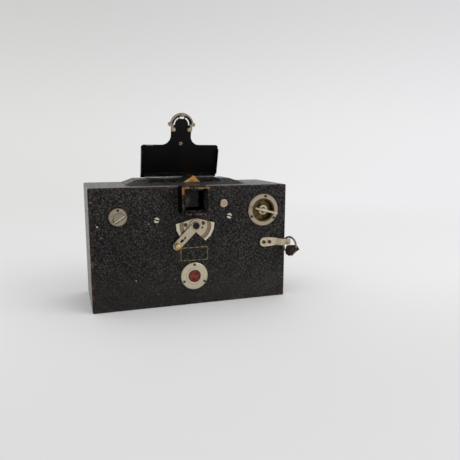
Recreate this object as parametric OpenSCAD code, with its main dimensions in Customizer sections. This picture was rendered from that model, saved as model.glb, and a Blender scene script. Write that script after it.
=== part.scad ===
// Swing-lens panoramic roll-film camera, standing on its back cover with the lens side up.
// X runs along the case, -Y is the control face and +Z is the lens side. Sizes in millimetres.

/* [Case] */
// Length of the case
case_w = 180; // [150:1:220]
// Depth of the case, from the control face to the tripod side
case_d = 73; // [68:0.5:90]
// Height of the case as it stands on its back
case_h = 108; // [104:0.5:120]
// Thickness of the covered wooden walls
wall = 6; // [4.5:0.25:7]
// Radius of the covered edges
edge_r = 1.6; // [0.8:0.1:3]
// Running clearance round turning and sliding pieces
run = 0.05; // [0.02:0.01:0.09]
// Free clearance beside moving pieces
free = 0.4; // [0.3:0.05:0.8]

/* [Back cover] */
// Thickness of the back cover
cover_t = 5; // [4:0.25:6]
// Radius of the two cover pivot pins
cover_pin_r = 1; // [0.8:0.1:1.4]

/* [Front block] */
// Length of the raised block at its base
block_w = 114.5; // [110:0.5:120]
// Length of each ramped end
ramp_w = 12; // [8:0.5:16]
// Height of the block over the case
block_h = 4.2; // [3.6:0.1:5]
// Width of the block's rim round the opening
rim_w = 3.6; // [3.4:0.1:4]
// Clearance past the swinging lens at each end of the opening
opening_gap = 2.8; // [1:0.1:5]
// Clearance beside the lens housing in the opening
opening_side = 1.5; // [0.8:0.1:2]
// Width of the slope along the block's near side
slope_w = 10.5; // [6:0.5:12]

/* [Lens unit] */
// Place of the swing axis along the case
pivot_x = 1; // [-4:0.1:6]
// Depth of the swing axis below the lens side
pivot_down = 34.8; // [34:0.1:36]
// Place of the lens across the case
lens_y = 10.5; // [9:0.25:11]
// Angle of the lens from straight ahead, as it stands
swing_rest = 45; // [40:1:46]
// Half length of the brass lens front
front_half = 24.6; // [20:0.1:25]
// Distance of the lens front from the swing axis
front_reach = 35.4; // [30:0.1:36]
// Height of the lens housing across the case
housing_d = 28; // [24:0.5:29]
// Sheet thickness of the lens housing
sheet_t = 1.2; // [0.8:0.1:1.6]
// Radius of the swing shaft
shaft_r = 2.5; // [2:0.1:3]
// Radius of the lens barrel
barrel_r = 8.5; // [6:0.1:10]
// Length of the lens barrel
barrel_l = 12; // [9:0.5:14]
// Room between the film curve and the back cover
film_gap = 6.2; // [5:0.1:8]
// Room between the film and the far wall
film_side = 2; // [1:0.1:3]
// Half angle of the film gate
gate_half = 54; // [48:1:56]

/* [Lid] */
// Length of the lid along the hinge
lid_w = 77.5; // [72:0.5:80]
// Place of the lid along the case
lid_x = 2.9; // [0:0.1:4]
// Height of the wide part of the lid
lid_wide_h = 33.2; // [30:0.1:36]
// Height of the lid to the end of its tongue
lid_h = 63.2; // [58:0.1:64]
// Half width of the tongue
tongue_r = 10; // [8:0.1:11]
// Radius of the lid's shoulders
shoulder_r = 9; // [5:0.5:12]
// Sheet thickness of the lid
lid_t = 1; // [0.8:0.1:1.4]
// Depth of the lid's side flanges
flange_d = 3.2; // [1.5:0.1:3.4]
// Lean of the open lid towards the control face, in degrees
lid_lean = 16.6; // [5:0.1:25]
// Radius of the hinge knuckles
knuckle_r = 1.1; // [1:0.05:1.3]
// Radius of the hinge pin
pin_r = 0.55; // [0.4:0.05:0.6]
// Width of the catch strip
catch_w = 1.5; // [1.2:0.1:2]

/* [Finder] */
// Side of the square finder hood
hood_w = 24.4; // [22:0.1:26]
// Place of the finder along the case
hood_x = -1.8; // [-4:0.1:2]
// Height of the hood above the case
hood_up = 0.9; // [0:0.1:1.2]
// How far the hood stands out of the control face
hood_out = 15.5; // [10:0.5:18]
// Wall of the hood
hood_t = 2; // [1.5:0.1:2.6]
// Depth of the finder box behind the control face
finder_in = 23; // [21:0.25:24.5]
// Radius of the finder's front lens
finder_lens_r = 5; // [3.5:0.1:6]

/* [Swing lever] */
// Length of the lever, pivot to knob
lever_l = 24.5; // [20:0.5:28]
// Width of the lever
lever_w = 7.4; // [6.5:0.1:8.5]
// Thickness of the lever
lever_t = 1.2; // [1:0.1:1.6]
// Outer reach of the sector plate
sector_r = 17.7; // [15:0.1:20]
// Thickness of the sector plate
sector_t = 1.6; // [1.2:0.1:2]
// Radius of the brass knob
knob_r = 2.7; // [2:0.1:3.2]
// Radius of the lever's round hub
hub_r = 5.6; // [4.5:0.1:6]
// Gap between the sector plate and the lever
lever_gap = 1.3; // [1:0.1:1.8]

/* [Winding key] */
// Distance of the key from the end of the case
key_in = 23.4; // [22:0.1:25]
// Depth of the key below the lens side
key_down = 23.5; // [22:0.1:26]
// Outer radius of the key flange
key_ring_r = 15; // [13:0.1:16]
// Radius of the dish
dish_r = 10.7; // [9:0.1:11.5]
// Radius of the key post
post_r = 4.4; // [3.8:0.1:4.6]
// Half length of the folding wing
wing_half = 11.8; // [9:0.1:12.5]
// Height of the folding wing
wing_h = 5.2; // [4:0.1:7]
// Sheet thickness of the folding wing
wing_t = 1.6; // [1.2:0.1:2]
// Radius of the wing's hinge pin
wing_pin_r = 0.8; // [0.6:0.05:1]
// Slope of the wing across the face, in degrees
wing_slope = 14.5; // [0:0.5:40]

/* [Feed knob] */
// Distance of the feed knob from the end of the case
feed_in = 23.8; // [22:0.1:25]
// Depth of the feed knob below the lens side
feed_down = 24.8; // [22:0.1:26]
// Radius of the feed knob
feed_r = 7.7; // [7:0.1:9]
// Slope of the leaf's hinge across the knob, in degrees
leaf_slope = 33; // [0:1:60]

/* [Spools] */
// Radius of the spool cores
core_r = 4.5; // [4:0.1:6]
// Radius of the spool flanges
spool_r = 12; // [10:0.1:12.5]
// Radius of the far spool pivots
spool_pin_r = 2; // [1.5:0.1:2.4]
// Radius of the noses that enter the near ends of the spools
nose_r = 2; // [1.5:0.1:2.4]
// Radius of the two spindles that pass through the near wall
spindle_r = 3; // [2.6:0.1:3.4]

/* [Fittings] */
// Height of the screw heads
head_h = 0.9; // [0.6:0.05:1.2]
// Depth of the screws in the wood
screw_in = 4; // [2.5:0.1:4.4]
// Head radius of the two panel screws
panel_screw_r = 2.4; // [2:0.1:3]
// Head radius of the sector plate's screws
sector_screw_r = 1.6; // [1.3:0.1:1.8]
// Head radius of the window ring's screws
window_screw_r = 1.1; // [0.9:0.05:1.3]
// Head radius of the key flange's screws
flange_screw_r = 1.2; // [0.9:0.05:1.4]
// Head radius of the lug's screws
lug_screw_r = 1.7; // [1.4:0.1:2]
// Place of the release button along the case
button_x = 27; // [24:0.1:32]
// Depth of the release button below the lens side
button_down = 15.7; // [13:0.1:20]
// Radius of the release button
button_r = 3.8; // [3:0.1:4.5]
// Distance of the window's centre below the swing axis
window_down = 46.5; // [45.5:0.1:48]
// Outer radius of the window ring
window_r = 12.4; // [11:0.1:12.8]
// Radius of the red glass
glass_r = 5.6; // [4:0.1:6.2]
// Depth of the strap lug's centre line below the lens side
lug_down = 54; // [50:0.1:58]
// Length of the lug bar on the face
lug_l = 26.5; // [24:0.5:30]
// Width of the lug bar
lug_w = 8.4; // [7:0.1:9]
// Width of the lug bar at its free end
lug_end_w = 5.6; // [4:0.1:5.8]
// Radius of the strap ring, to the middle of its wire
ring_r = 7.8; // [7:0.1:9]
// Radius of the strap ring's wire
wire_r = 0.9; // [0.7:0.05:1]
// Turn of the hanging strap ring towards the viewer, in degrees
ring_turn = 68; // [20:1:75]
// Thickness of the folded strap end on the ring
strap_t = 4.8; // [3.6:0.1:6]
// How far the ring's centre hangs below the lug's middle
ring_drop = 3; // [0:0.1:3.2]
// Length of the label
label_w = 25.6; // [20:0.1:28]
// Height of the label
label_h = 12.4; // [10:0.1:13]
// Distance of the label's centre below the swing axis
label_down = 26; // [25:0.1:27]
// Radius of the tripod thread
tripod_r = 3.175; // [3.1:0.005:4.8]
// Height of the tripod bush's centre
tripod_z = 50; // [40:1:60]
// Outer radius of the tripod bush
bush_r = 8; // [6:0.1:10]

/* [Hidden] */
$fn = 64;

e = 0.01;
face = -case_d / 2;
rear = case_d / 2;
inner_near = face + wall;
inner_far = rear - wall;
inner_half = case_w / 2 - wall;
front_in = case_h - wall;
pivot_z = case_h - pivot_down;
film_r = pivot_z - cover_t - film_gap;
film_w = 2 * (inner_far - film_side - lens_y);
key_x = case_w / 2 - key_in;
key_z = case_h - key_down;
feed_x = feed_in - case_w / 2;
feed_z = case_h - feed_down;
button_z = case_h - button_down;
window_z = pivot_z - window_down;
label_z = pivot_z - label_down;
lug_z = case_h - lug_down;
sweep_r = sqrt(pow(front_half, 2) + pow(front_reach, 2));
opening_w = 2 * (sqrt(pow(sweep_r, 2) - pow(front_in - pivot_z, 2)) + opening_gap);
opening_d = housing_d + 2 * opening_side;
plate_t = 2;
plate_far = lens_y - film_w / 2 - 2;
plate_near = plate_far - plate_t;
block_top = case_h + block_h;
block_near = lens_y - opening_d / 2 - rim_w;
block_far = lens_y + opening_d / 2 + rim_w;
rebate_z = block_top - 1.6;
leaf_t = 0.4;
slot_share = 0.5;
shank_share = 0.5;
hinge_y = block_far - rim_w / 2;
hinge_z = rebate_z + leaf_t + knuckle_r;
lid_off = pivot_z + sweep_r + 2 * free - hinge_z;
lid_low = -1.5;
knuckle_l = 14;
hood_z = case_h + hood_up - hood_w / 2;
hood_near = face - hood_out;
box_far = face + finder_in;
sector_near = face - sector_t;
lever_far = sector_near - lever_gap;
lever_near = lever_far - lever_t;
screw_shank_r = 1.5;
knob_pin_r = 1.2;
collar_t = 0.5;
spool_near = plate_far + 0.9;
spool_far = inner_far - 0.6;
bush_near = rear - wall + 1;
cover_near = inner_near + free;
cover_axis_y = inner_far - free - cover_t / 2;
cover_axis_z = cover_t / 2;
roller_r = 3;
roller_a = gate_half + 6;
roller_reach = film_r + 1;
ring_out = 1.4;
ring_t = 1.2;
window_hole_r = window_r - window_screw_r - 0.7;
flange_hole_r = (dish_r + key_ring_r) / 2 + 0.15;
lug_start = case_w / 2 - lug_l;
dish_t = 0.8;
cheek_t = 1.4;
cheek_r = 1.3;
wing_axis = face - ring_out - wing_pin_r - free;
fork_y = wing_axis + 2.4;
nose_l = 6;
knob_t = 2.4;
leaf_axis = face - knob_t + 0.85;
leaf_recess = 2;
leaf_low = 2.3;
leaf_r = feed_r - 2.5;
leaf_pin_r = 0.45;
eye_x = case_w / 2 - 1.8;
eye_y = face - wire_r - 0.9;
hump_in = 5;
lug_t = 1.2;

// Round bar along Y between two places.
module rod(x, z, y0, y1, r) {
  translate([x, y0, z]) rotate([-90, 0, 0]) cylinder(h = y1 - y0, r = r);
}

// Flat profile drawn in X and Z, given a thickness along Y.
module slab(y0, y1) {
  translate([0, y1, 0]) rotate([90, 0, 0]) linear_extrude(y1 - y0) children();
}

// Rectangle with round corners, centred.
module soft_rect(w, h, r) {
  square([w - 2 * r, h], center = true);
  square([w, h - 2 * r], center = true);
  for (i = [-1, 1], j = [-1, 1]) translate([i * (w / 2 - r), j * (h / 2 - r)]) circle(r);
}

// Bar with round ends from the origin along X.
module round_bar(l, w) {
  translate([0, -w / 2]) square([l, w]);
  circle(w / 2);
  translate([l, 0]) circle(w / 2);
}

// Slotted round-head screw on a face, its shank going in along +Y.
module face_screw(x, z, y, r, turn, shank_l) {
  difference() {
    rod(x, z, y - head_h, y, r);
    translate([x, y - head_h, z]) rotate([0, turn, 0])
      cube([2 * r + 1, head_h, r * slot_share], center = true);
  }
  rod(x, z, y - e, y + shank_l, r * shank_share);
}

// Hole for such a screw, from a face at y down to the end of its shank.
module screw_hole(x, z, y, r, depth) rod(x, z, y - 1, y + depth, r * shank_share);

module at_hinge() translate([lid_x, hinge_y, hinge_z]) rotate([lid_lean, 0, 0]) children();

module at_lens() translate([pivot_x, 0, pivot_z]) rotate([0, swing_rest, 0]) children();

module at_key() translate([key_x, 0, key_z]) rotate([0, wing_slope, 0]) children();

module at_leaf() translate([feed_x, 0, feed_z]) rotate([0, -leaf_slope, 0])
  translate([0, 0, -leaf_low]) children();

function roller_x(side) = pivot_x + side * roller_reach * sin(roller_a);
roller_z = pivot_z - roller_reach * cos(roller_a);
sector_spots = [[-9, 0.8], [7.2, 1.8]];
window_spots = [90, 205, 330];
flange_spots = [82, 206, 324];
lug_spots = [4, 9.6];
panel_spots = [[33.1, pivot_z + 7.2], [-33.4, pivot_z + 6]];

module case_block() {
  intersection() {
    translate([0, 0, case_h / 2]) slab(face, rear) soft_rect(case_w, case_h, edge_r);
    linear_extrude(case_h) soft_rect(case_w, case_d, edge_r);
    translate([-case_w / 2, 0, case_h / 2]) rotate([0, 90, 0])
      linear_extrude(case_w) soft_rect(case_h, case_d, edge_r);
  }
}

module case_shell() {
  color([0.10, 0.095, 0.09]) difference() {
    case_block();
    translate([-inner_half, inner_near, -1]) cube([2 * inner_half, inner_far - inner_near, front_in + 1]);
    translate([pivot_x - opening_w / 2, lens_y - opening_d / 2, front_in - 1])
      cube([opening_w, opening_d, wall + 2]);
    translate([hood_x - hood_w / 2 + hood_t, face - 1, hood_z - hood_w / 2 + hood_t])
      cube([hood_w - 2 * hood_t, wall + 2, front_in - hood_z + hood_w / 2 - hood_t]);
    translate([hood_x, face + finder_in / 2 + 1, front_in - 1]) cylinder(h = wall + 2, r = finder_lens_r);
    rod(pivot_x, pivot_z, face - 1, inner_near + 1, shaft_r + 2);
    rod(key_x, key_z, face - 1, inner_near + 1, dish_r);
    rod(feed_x, feed_z, face - 1, inner_near + 1, spindle_r + run);
    rod(button_x, button_z, face - 1, face + 2.6, button_r + 0.3);
    rod(button_x, button_z, face, inner_near + 1, 1.6 + run);
    rod(0, window_z, face - 1, inner_near + 1, glass_r);
    rod(0, tripod_z, bush_near, rear + 1, bush_r);
    for (s = panel_spots) screw_hole(s[0], s[1], face, panel_screw_r, screw_in);
    for (s = sector_spots) screw_hole(pivot_x + s[0], pivot_z + s[1], face, sector_screw_r, screw_in);
    for (a = window_spots) screw_hole(window_hole_r * cos(a), window_z + window_hole_r * sin(a), face,
      window_screw_r, screw_in);
    for (a = flange_spots) screw_hole(key_x + flange_hole_r * cos(a), key_z + flange_hole_r * sin(a), face,
      flange_screw_r, screw_in);
    for (s = lug_spots) screw_hole(lug_start + s, lug_z, face, lug_screw_r, screw_in);
    for (i = [-1, 1]) translate([i * (inner_half - 1), cover_axis_y, cover_axis_z]) rotate([0, 90 * i, 0])
      cylinder(h = wall + 2, r = cover_pin_r);
  }
}

module panel_screws() {
  color([0.75, 0.70, 0.60]) for (s = panel_spots)
    face_screw(s[0], s[1], face, panel_screw_r, 18, screw_in);
}

module label_frame() {
  color([0.50, 0.42, 0.22]) translate([0.2, 0, label_z]) slab(face - 0.15, face) difference() {
    soft_rect(label_w, label_h, 1.4);
    soft_rect(label_w - 1.6, label_h - 1.6, 0.8);
  }
}

module front_block() {
  half = block_w / 2;
  color([0.11, 0.105, 0.10]) difference() {
    intersection() {
      translate([pivot_x, 0, 0]) slab(block_near, block_far) polygon([[-half, case_h], [half, case_h],
        [half - ramp_w, block_top], [ramp_w - half, block_top]]);
      translate([pivot_x - half, 0, 0]) rotate([90, 0, 90]) linear_extrude(block_w)
        polygon([[block_near, case_h], [block_far, case_h], [block_far, block_top],
          [block_near + slope_w, block_top]]);
    }
    translate([pivot_x - opening_w / 2, lens_y - opening_d / 2, case_h - 1])
      cube([opening_w, opening_d, block_h + 2]);
    translate([lid_x - lid_w / 2 - 0.6, block_far - rim_w - 1, rebate_z]) cube([lid_w + 1.2, rim_w + 2, 5]);
  }
}

module back_cover() {
  half = inner_half - free;
  color([0.10, 0.095, 0.09]) difference() {
    union() {
      translate([-half, cover_near, 0]) cube([2 * half, cover_axis_y - cover_near, cover_t]);
      translate([-half, cover_axis_y, cover_axis_z]) rotate([0, 90, 0])
        cylinder(h = 2 * half, r = cover_t / 2);
    }
    for (i = [-1, 1]) translate([i * (half - 6), cover_axis_y, cover_axis_z]) rotate([0, 90 * i, 0])
      cylinder(h = 8, r = cover_pin_r + run);
  }
}

module back_pins() {
  color([0.6, 0.6, 0.6]) for (i = [-1, 1]) translate([i * (inner_half - 5), cover_axis_y, cover_axis_z])
    rotate([0, 90 * i, 0]) cylinder(h = wall + 5, r = cover_pin_r);
}

module mech_plate() {
  color([0.16, 0.15, 0.14]) difference() {
    translate([-inner_half, plate_near, cover_t + 2]) cube([2 * inner_half, plate_t, front_in - cover_t - 2]);
    translate([hood_x - hood_w / 2 - free, plate_near - 1, hood_z - hood_w / 2 - free])
      cube([hood_w + 2 * free, plate_t + 2, hood_w + free]);
    rod(pivot_x, pivot_z, plate_near - 1, plate_far + 1, shaft_r + 0.6);
    rod(key_x, key_z, plate_near - 1, plate_far + 1, spindle_r + run);
    rod(feed_x, feed_z, plate_near - 1, plate_far + 1, spindle_r + run);
    rod(0, window_z, plate_near - 1, plate_far + 1, glass_r);
    for (i = [-1, 1]) rod(roller_x(i), roller_z, plate_near - 1, plate_far + 1, 1.2);
  }
}

module gate_ring(y0, y1, r0, r1) {
  far = film_r + 20;
  intersection() {
    difference() {
      rod(pivot_x, pivot_z, y0, y1, r1);
      rod(pivot_x, pivot_z, y0 - 1, y1 + 1, r0);
    }
    slab(y0, y1) translate([pivot_x, pivot_z]) polygon([[0, 0],
      [-far * sin(gate_half), -far * cos(gate_half)], [-far * sin(gate_half), -far],
      [far * sin(gate_half), -far], [far * sin(gate_half), -far * cos(gate_half)]]);
  }
}

module film_gate() {
  color([0.18, 0.17, 0.16]) {
    gate_ring(plate_far, plate_far + 4, film_r - 1.5, film_r);
    gate_ring(lens_y + film_w / 2 - 3, inner_far, film_r - 1.5, film_r);
    for (i = [-1, 1]) translate([pivot_x, 0, pivot_z]) rotate([0, 180 - i * (gate_half - 1.5), 0])
      translate([-1.5, plate_far, film_r - 1.4]) cube([3, inner_far - plate_far, 1.2]);
  }
}

module roller_axles() {
  color([0.6, 0.6, 0.6]) for (i = [-1, 1]) rod(roller_x(i), roller_z, plate_near, inner_far, 1.2);
}

module guide_roller(side) {
  color([0.55, 0.53, 0.5]) difference() {
    rod(roller_x(side), roller_z, plate_far + 0.5, inner_far - 0.5, roller_r);
    rod(roller_x(side), roller_z, plate_far - 1, inner_far + 1, 1.2 + run);
  }
}

module roller_left() guide_roller(-1);

module roller_right() guide_roller(1);

module spool_pivots() {
  color([0.65, 0.63, 0.58]) for (s = [[key_x, key_z], [feed_x, feed_z]]) {
    rod(s[0], s[1], inner_far - 7, inner_far, spool_pin_r);
    rod(s[0], s[1], inner_far - 0.5, inner_far, 5);
  }
}

module lid_outline() {
  z0 = lid_low;
  neck = z0 + lid_wide_h;
  tip = z0 + lid_h - tongue_r;
  difference() {
    union() {
      translate([-lid_w / 2, z0]) square([lid_w, lid_wide_h - 3]);
      translate([0, z0 + lid_wide_h - 6]) soft_rect(lid_w, 12, 2.4);
      translate([-tongue_r, neck - 1]) square([2 * tongue_r, tip - neck + 1]);
      translate([0, tip]) circle(tongue_r);
      for (i = [0, 1]) mirror([i, 0]) difference() {
        translate([tongue_r - 1, neck - 1]) square([shoulder_r + 1, shoulder_r + 1]);
        translate([tongue_r + shoulder_r, neck + shoulder_r]) circle(shoulder_r);
      }
    }
    translate([0, tip]) intersection() {
      difference() {
        circle(tongue_r - 2.1);
        circle(tongue_r - 3.4);
      }
      for (i = [-1, 1]) polygon([[0, 0], [i * 20, -1], [i * 20, 14], [i * 7, 14]]);
    }
    translate([0, tip + tongue_r - 3.2]) square([4.6, 2], center = true);
  }
}

module lid_plate() {
  color([0.03, 0.03, 0.03]) at_hinge() {
    slab(lid_off, lid_off + lid_t) lid_outline();
    for (i = [-1, 1]) translate([i * (lid_w / 2 - lid_t / 2) - lid_t / 2, lid_off - flange_d, lid_low + 4])
      cube([lid_t, flange_d + e, lid_wide_h - 7.5]);
  }
}

module knuckles(spots) {
  for (s = spots) translate([s * (knuckle_l + 0.3) - knuckle_l / 2, 0, 0]) rotate([0, 90, 0])
    cylinder(h = knuckle_l, r = knuckle_r);
}

module pin_way(r) {
  translate([-lid_w, 0, 0]) rotate([0, 90, 0]) cylinder(h = 2 * lid_w, r = r);
}

module lid_leaf() {
  color([0.45, 0.44, 0.42]) at_hinge() difference() {
    union() {
      knuckles([-2, 0, 2]);
      for (s = [-2, 0, 2]) translate([s * (knuckle_l + 0.3) - knuckle_l / 2, 0, -0.45])
        cube([knuckle_l, lid_off, 0.9]);
      translate([-2.5 * knuckle_l - 0.6, lid_off - 0.5, lid_low])
        cube([5 * knuckle_l + 1.2, 0.5, 4.5]);
    }
    pin_way(pin_r + run);
  }
}

module fixed_leaf() {
  color([0.45, 0.44, 0.42]) translate([lid_x, 0, 0]) difference() {
    union() {
      translate([0, hinge_y, hinge_z]) knuckles([-1, 1]);
      for (s = [-1, 1]) translate([s * (knuckle_l + 0.3) - knuckle_l / 2, hinge_y - 0.6, rebate_z])
        cube([knuckle_l, 1.2, knuckle_r + leaf_t]);
      translate([-2.5 * knuckle_l - 0.6, hinge_y - rim_w / 2, rebate_z])
        cube([5 * knuckle_l + 1.2, rim_w, leaf_t]);
    }
    translate([0, hinge_y, hinge_z]) pin_way(pin_r);
    for (s = [-2, 0, 2]) translate([s * (knuckle_l + 0.3) - knuckle_l / 2 - 0.3, hinge_y, hinge_z])
      rotate([0, 90, 0]) cylinder(h = knuckle_l + 0.6, r = knuckle_r + 0.25);
  }
}

module hinge_pin() {
  color([0.7, 0.68, 0.62]) translate([lid_x - 2.5 * knuckle_l - 0.6, hinge_y, hinge_z])
    rotate([0, 90, 0]) cylinder(h = 5 * knuckle_l + 1.2, r = pin_r);
}

module lid_catch() {
  tip = lid_low + lid_h - tongue_r;
  color([0.72, 0.67, 0.57]) at_hinge() {
    slab(lid_off - 1.4, lid_off + lid_t) translate([0, tip]) {
      intersection() {
        difference() {
          circle(tongue_r + catch_w);
          circle(tongue_r);
        }
        translate([-20, 0]) square([40, 20]);
      }
      for (i = [-1, 1]) translate([i * (tongue_r + catch_w), 0.6]) circle(1.9);
    }
    slab(lid_off - 1.4, lid_off) translate([0, tip]) {
      for (i = [-1, 1]) translate([i * (tongue_r - 2.1), -4.4]) circle(2.1);
      for (i = [-1, 1]) translate([i * (tongue_r - 0.6) - 1.1, -5.6]) square([2.2, 6.4]);
      translate([-2, tongue_r - 1.6]) square([4, 2.4]);
    }
    translate([-2, lid_off - 7, tip + tongue_r + 0.2]) cube([4, 7 + lid_t, 1.2]);
  }
}

module catch_rivets() {
  tip = lid_low + lid_h - tongue_r;
  color([0.7, 0.66, 0.58]) at_hinge() for (i = [-1, 1])
    rod(i * (tongue_r - 2.1), tip - 4.4, lid_off - 1.9, lid_off - 1.4, 1.3);
}

module lid_stud() {
  color([0.7, 0.66, 0.58]) at_hinge() rod(0, lid_low + lid_wide_h + 1.6, lid_off - 0.4, lid_off, 1.7);
}

module catch_plate() {
  tip_y = hinge_y - (lid_low + lid_h);
  color([0.7, 0.66, 0.58]) translate([hood_x - 6.5, tip_y + 2 * free, case_h])
    cube([15, 3.8, 0.8]);
}

module finder_hood() {
  color([0.12, 0.10, 0.09]) translate([hood_x, 0, hood_z]) {
    slab(hood_near, face) difference() {
      soft_rect(hood_w, hood_w, 0.9);
      square(hood_w - 2 * hood_t, center = true);
    }
    slab(hood_near + 3, hood_near + 4.2) difference() {
      square(hood_w - 2 * hood_t + e, center = true);
      square(hood_w - 2 * hood_t - 3.6, center = true);
    }
  }
}

module finder_box() {
  side = hood_w - 2 * hood_t;
  low = hood_z - side / 2;
  color([0.05, 0.05, 0.05]) difference() {
    translate([hood_x - side / 2, inner_near, low]) cube([side, box_far - inner_near, front_in - low]);
    translate([hood_x - side / 2 + 1, inner_near - 1, low + 1])
      cube([side - 2, box_far - inner_near, front_in - low]);
  }
}

module finder_mirror() {
  side = hood_w - 2 * hood_t - 2;
  low = hood_z - hood_w / 2 + hood_t + 1;
  leg = min(box_far - inner_near - 1, front_in - low) - 0.4;
  color([0.8, 0.82, 0.85]) translate([hood_x - side / 2, 0, 0]) rotate([90, 0, 90]) linear_extrude(side)
    polygon([[box_far - 1, low + leg], [box_far - 1, low + leg - 1.8], [box_far - leg + 0.8, low],
      [box_far - 1 - leg, low]]);
}

module finder_glass() {
  side = hood_w - 2 * hood_t;
  color([0.6, 0.62, 0.62, 0.5]) translate([hood_x, 0, hood_z]) slab(face - 1.4, face)
    square(side, center = true);
}

module finder_lens() {
  color([0.7, 0.75, 0.75, 0.5]) translate([hood_x, face + finder_in / 2 + 1, front_in + wall / 2 - 1])
    cylinder(h = 2, r = finder_lens_r);
}

// Fan-shaped plate under the lever, drawn round the pivot.
module sector_outline() {
  r = sector_r;
  polygon([[1.6, 6.1], [r, 1.9], [0.962 * r, -0.226 * r], [0.79 * r, -0.565 * r], [0.52 * r, -0.802 * r],
    [0, -5.6], [-0.52 * r, -0.802 * r], [-0.79 * r, -0.565 * r], [-0.962 * r, -0.226 * r], [-r, 1.9],
    [-1.6, 6.1]]);
}

module sector_plate() {
  color([0.72, 0.67, 0.57]) difference() {
    translate([pivot_x, 0, pivot_z]) slab(sector_near, face) sector_outline();
    difference() {
      rod(pivot_x, pivot_z, sector_near - 1, sector_near + 0.6, sector_r - 3.1);
      rod(pivot_x, pivot_z, sector_near - 2, sector_near + 2, sector_r - 6.8);
      translate([pivot_x - sector_r, sector_near - 2, pivot_z + 1]) cube([2 * sector_r, 4, sector_r]);
    }
    rod(pivot_x, pivot_z, sector_near - 1, face + 1, shaft_r + 0.6);
    rod(pivot_x + 6.2, pivot_z - 2.2, sector_near - 1, face + 1, 1);
    for (s = sector_spots)
      screw_hole(pivot_x + s[0], pivot_z + s[1], sector_near, sector_screw_r, sector_t + 1);
  }
}

module sector_screws() {
  color([0.6, 0.56, 0.48]) for (s = sector_spots)
    face_screw(pivot_x + s[0], pivot_z + s[1], sector_near, sector_screw_r, 40, sector_t + screw_in);
}

module swing_lever() {
  color([0.74, 0.69, 0.59]) translate([pivot_x, 0, pivot_z]) {
    slab(lever_near, lever_far) rotate([0, 0, -90 - swing_rest]) difference() {
      round_bar(lever_l, lever_w);
      circle(screw_shank_r);
      translate([lever_l - 10, 0]) round_bar(4.6, 2.2);
      translate([lever_l, 0]) circle(knob_pin_r);
    }
    slab(lever_far - e, sector_near - 0.3) difference() {
      circle(hub_r);
      circle(shaft_r);
    }
    slab(lever_near - collar_t, lever_near + e) rotate([0, 0, -90 - swing_rest]) translate([lever_l, 0])
      difference() {
        circle(knob_r + 0.6);
        circle(knob_pin_r);
      }
  }
}

module lever_knob() {
  x = pivot_x - lever_l * sin(swing_rest);
  z = pivot_z - lever_l * cos(swing_rest);
  color([0.85, 0.62, 0.25]) {
    rod(x, z, lever_near - collar_t - e, lever_far, knob_pin_r);
    translate([x, lever_near - collar_t, z]) rotate([90, 0, 0]) rotate_extrude() polygon([[0, 0], [1.7, 0],
      [1.7, 0.6], [knob_r, 1.4], [knob_r, 2.6], [knob_r - 0.5, 3.4], [knob_r - 1.3, 3.9], [0, 4.1]]);
  }
}

module pivot_screw() {
  color([0.22, 0.22, 0.28]) face_screw(pivot_x, pivot_z, lever_near, 2 * screw_shank_r, 30,
    lever_t + 3);
}

module swing_shaft() {
  color([0.6, 0.6, 0.6]) difference() {
    rod(pivot_x, pivot_z, lever_far, inner_far - 0.5, shaft_r);
    rod(pivot_x, pivot_z, lever_far - 1, lever_far + 3, screw_shank_r);
  }
}

module shaft_bushes() {
  color([0.75, 0.58, 0.3]) {
    difference() {
      rod(pivot_x, pivot_z, face, inner_near, shaft_r + 2);
      rod(pivot_x, pivot_z, face - 1, inner_near + 1, shaft_r + run);
    }
    difference() {
      rod(pivot_x, pivot_z, inner_far - 3, inner_far, shaft_r + 2);
      rod(pivot_x, pivot_z, inner_far - 4, inner_far + 1, shaft_r + run);
    }
  }
}

housing_near = lens_y - housing_d / 2;
housing_far = lens_y + housing_d / 2;
housing_back = -5;
back_half = 8;
waist = 22;
waist_half = front_half + 3;

// Side view of the lens housing, the lens pointing up.
module housing_outline(t) {
  polygon([[-front_half + t, front_reach - sheet_t], [front_half - t, front_reach - sheet_t],
    [waist_half - t, waist], [back_half - t, housing_back], [-back_half + t, housing_back],
    [-waist_half + t, waist]]);
}

module lens_housing() {
  color([0.5, 0.38, 0.18]) at_lens() difference() {
    slab(housing_near, housing_far) housing_outline(0);
    slab(housing_near + sheet_t, housing_far - sheet_t) housing_outline(sheet_t);
    translate([-back_half + sheet_t, housing_near + sheet_t, housing_back - 1])
      cube([2 * (back_half - sheet_t), housing_d - 2 * sheet_t, 3]);
    rod(0, 0, housing_near - 1, housing_far + 1, shaft_r);
  }
}

module lens_front() {
  color([0.80, 0.55, 0.22]) at_lens() difference() {
    translate([-front_half, housing_near, front_reach - sheet_t]) cube([2 * front_half, housing_d, sheet_t]);
    translate([0, lens_y, front_reach - 3]) cylinder(h = 6, r = barrel_r);
  }
}

module lens_barrel() {
  color([0.06, 0.06, 0.06]) at_lens() translate([0, lens_y, front_reach - barrel_l + 1.5]) difference() {
    cylinder(h = barrel_l, r = barrel_r);
    translate([0, 0, -1]) cylinder(h = barrel_l + 2, r = barrel_r - 1.5);
  }
}

module front_lens() {
  color([0.75, 0.8, 0.85, 0.4]) at_lens() translate([0, lens_y, front_reach - 1.5])
    cylinder(h = 2, r = barrel_r - 1.5);
}

module rear_lens() {
  color([0.75, 0.8, 0.85, 0.4]) at_lens() translate([0, lens_y, front_reach - barrel_l + 2])
    cylinder(h = 2, r = barrel_r - 1.5);
}

tube_end = -film_r + 3.5;

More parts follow.
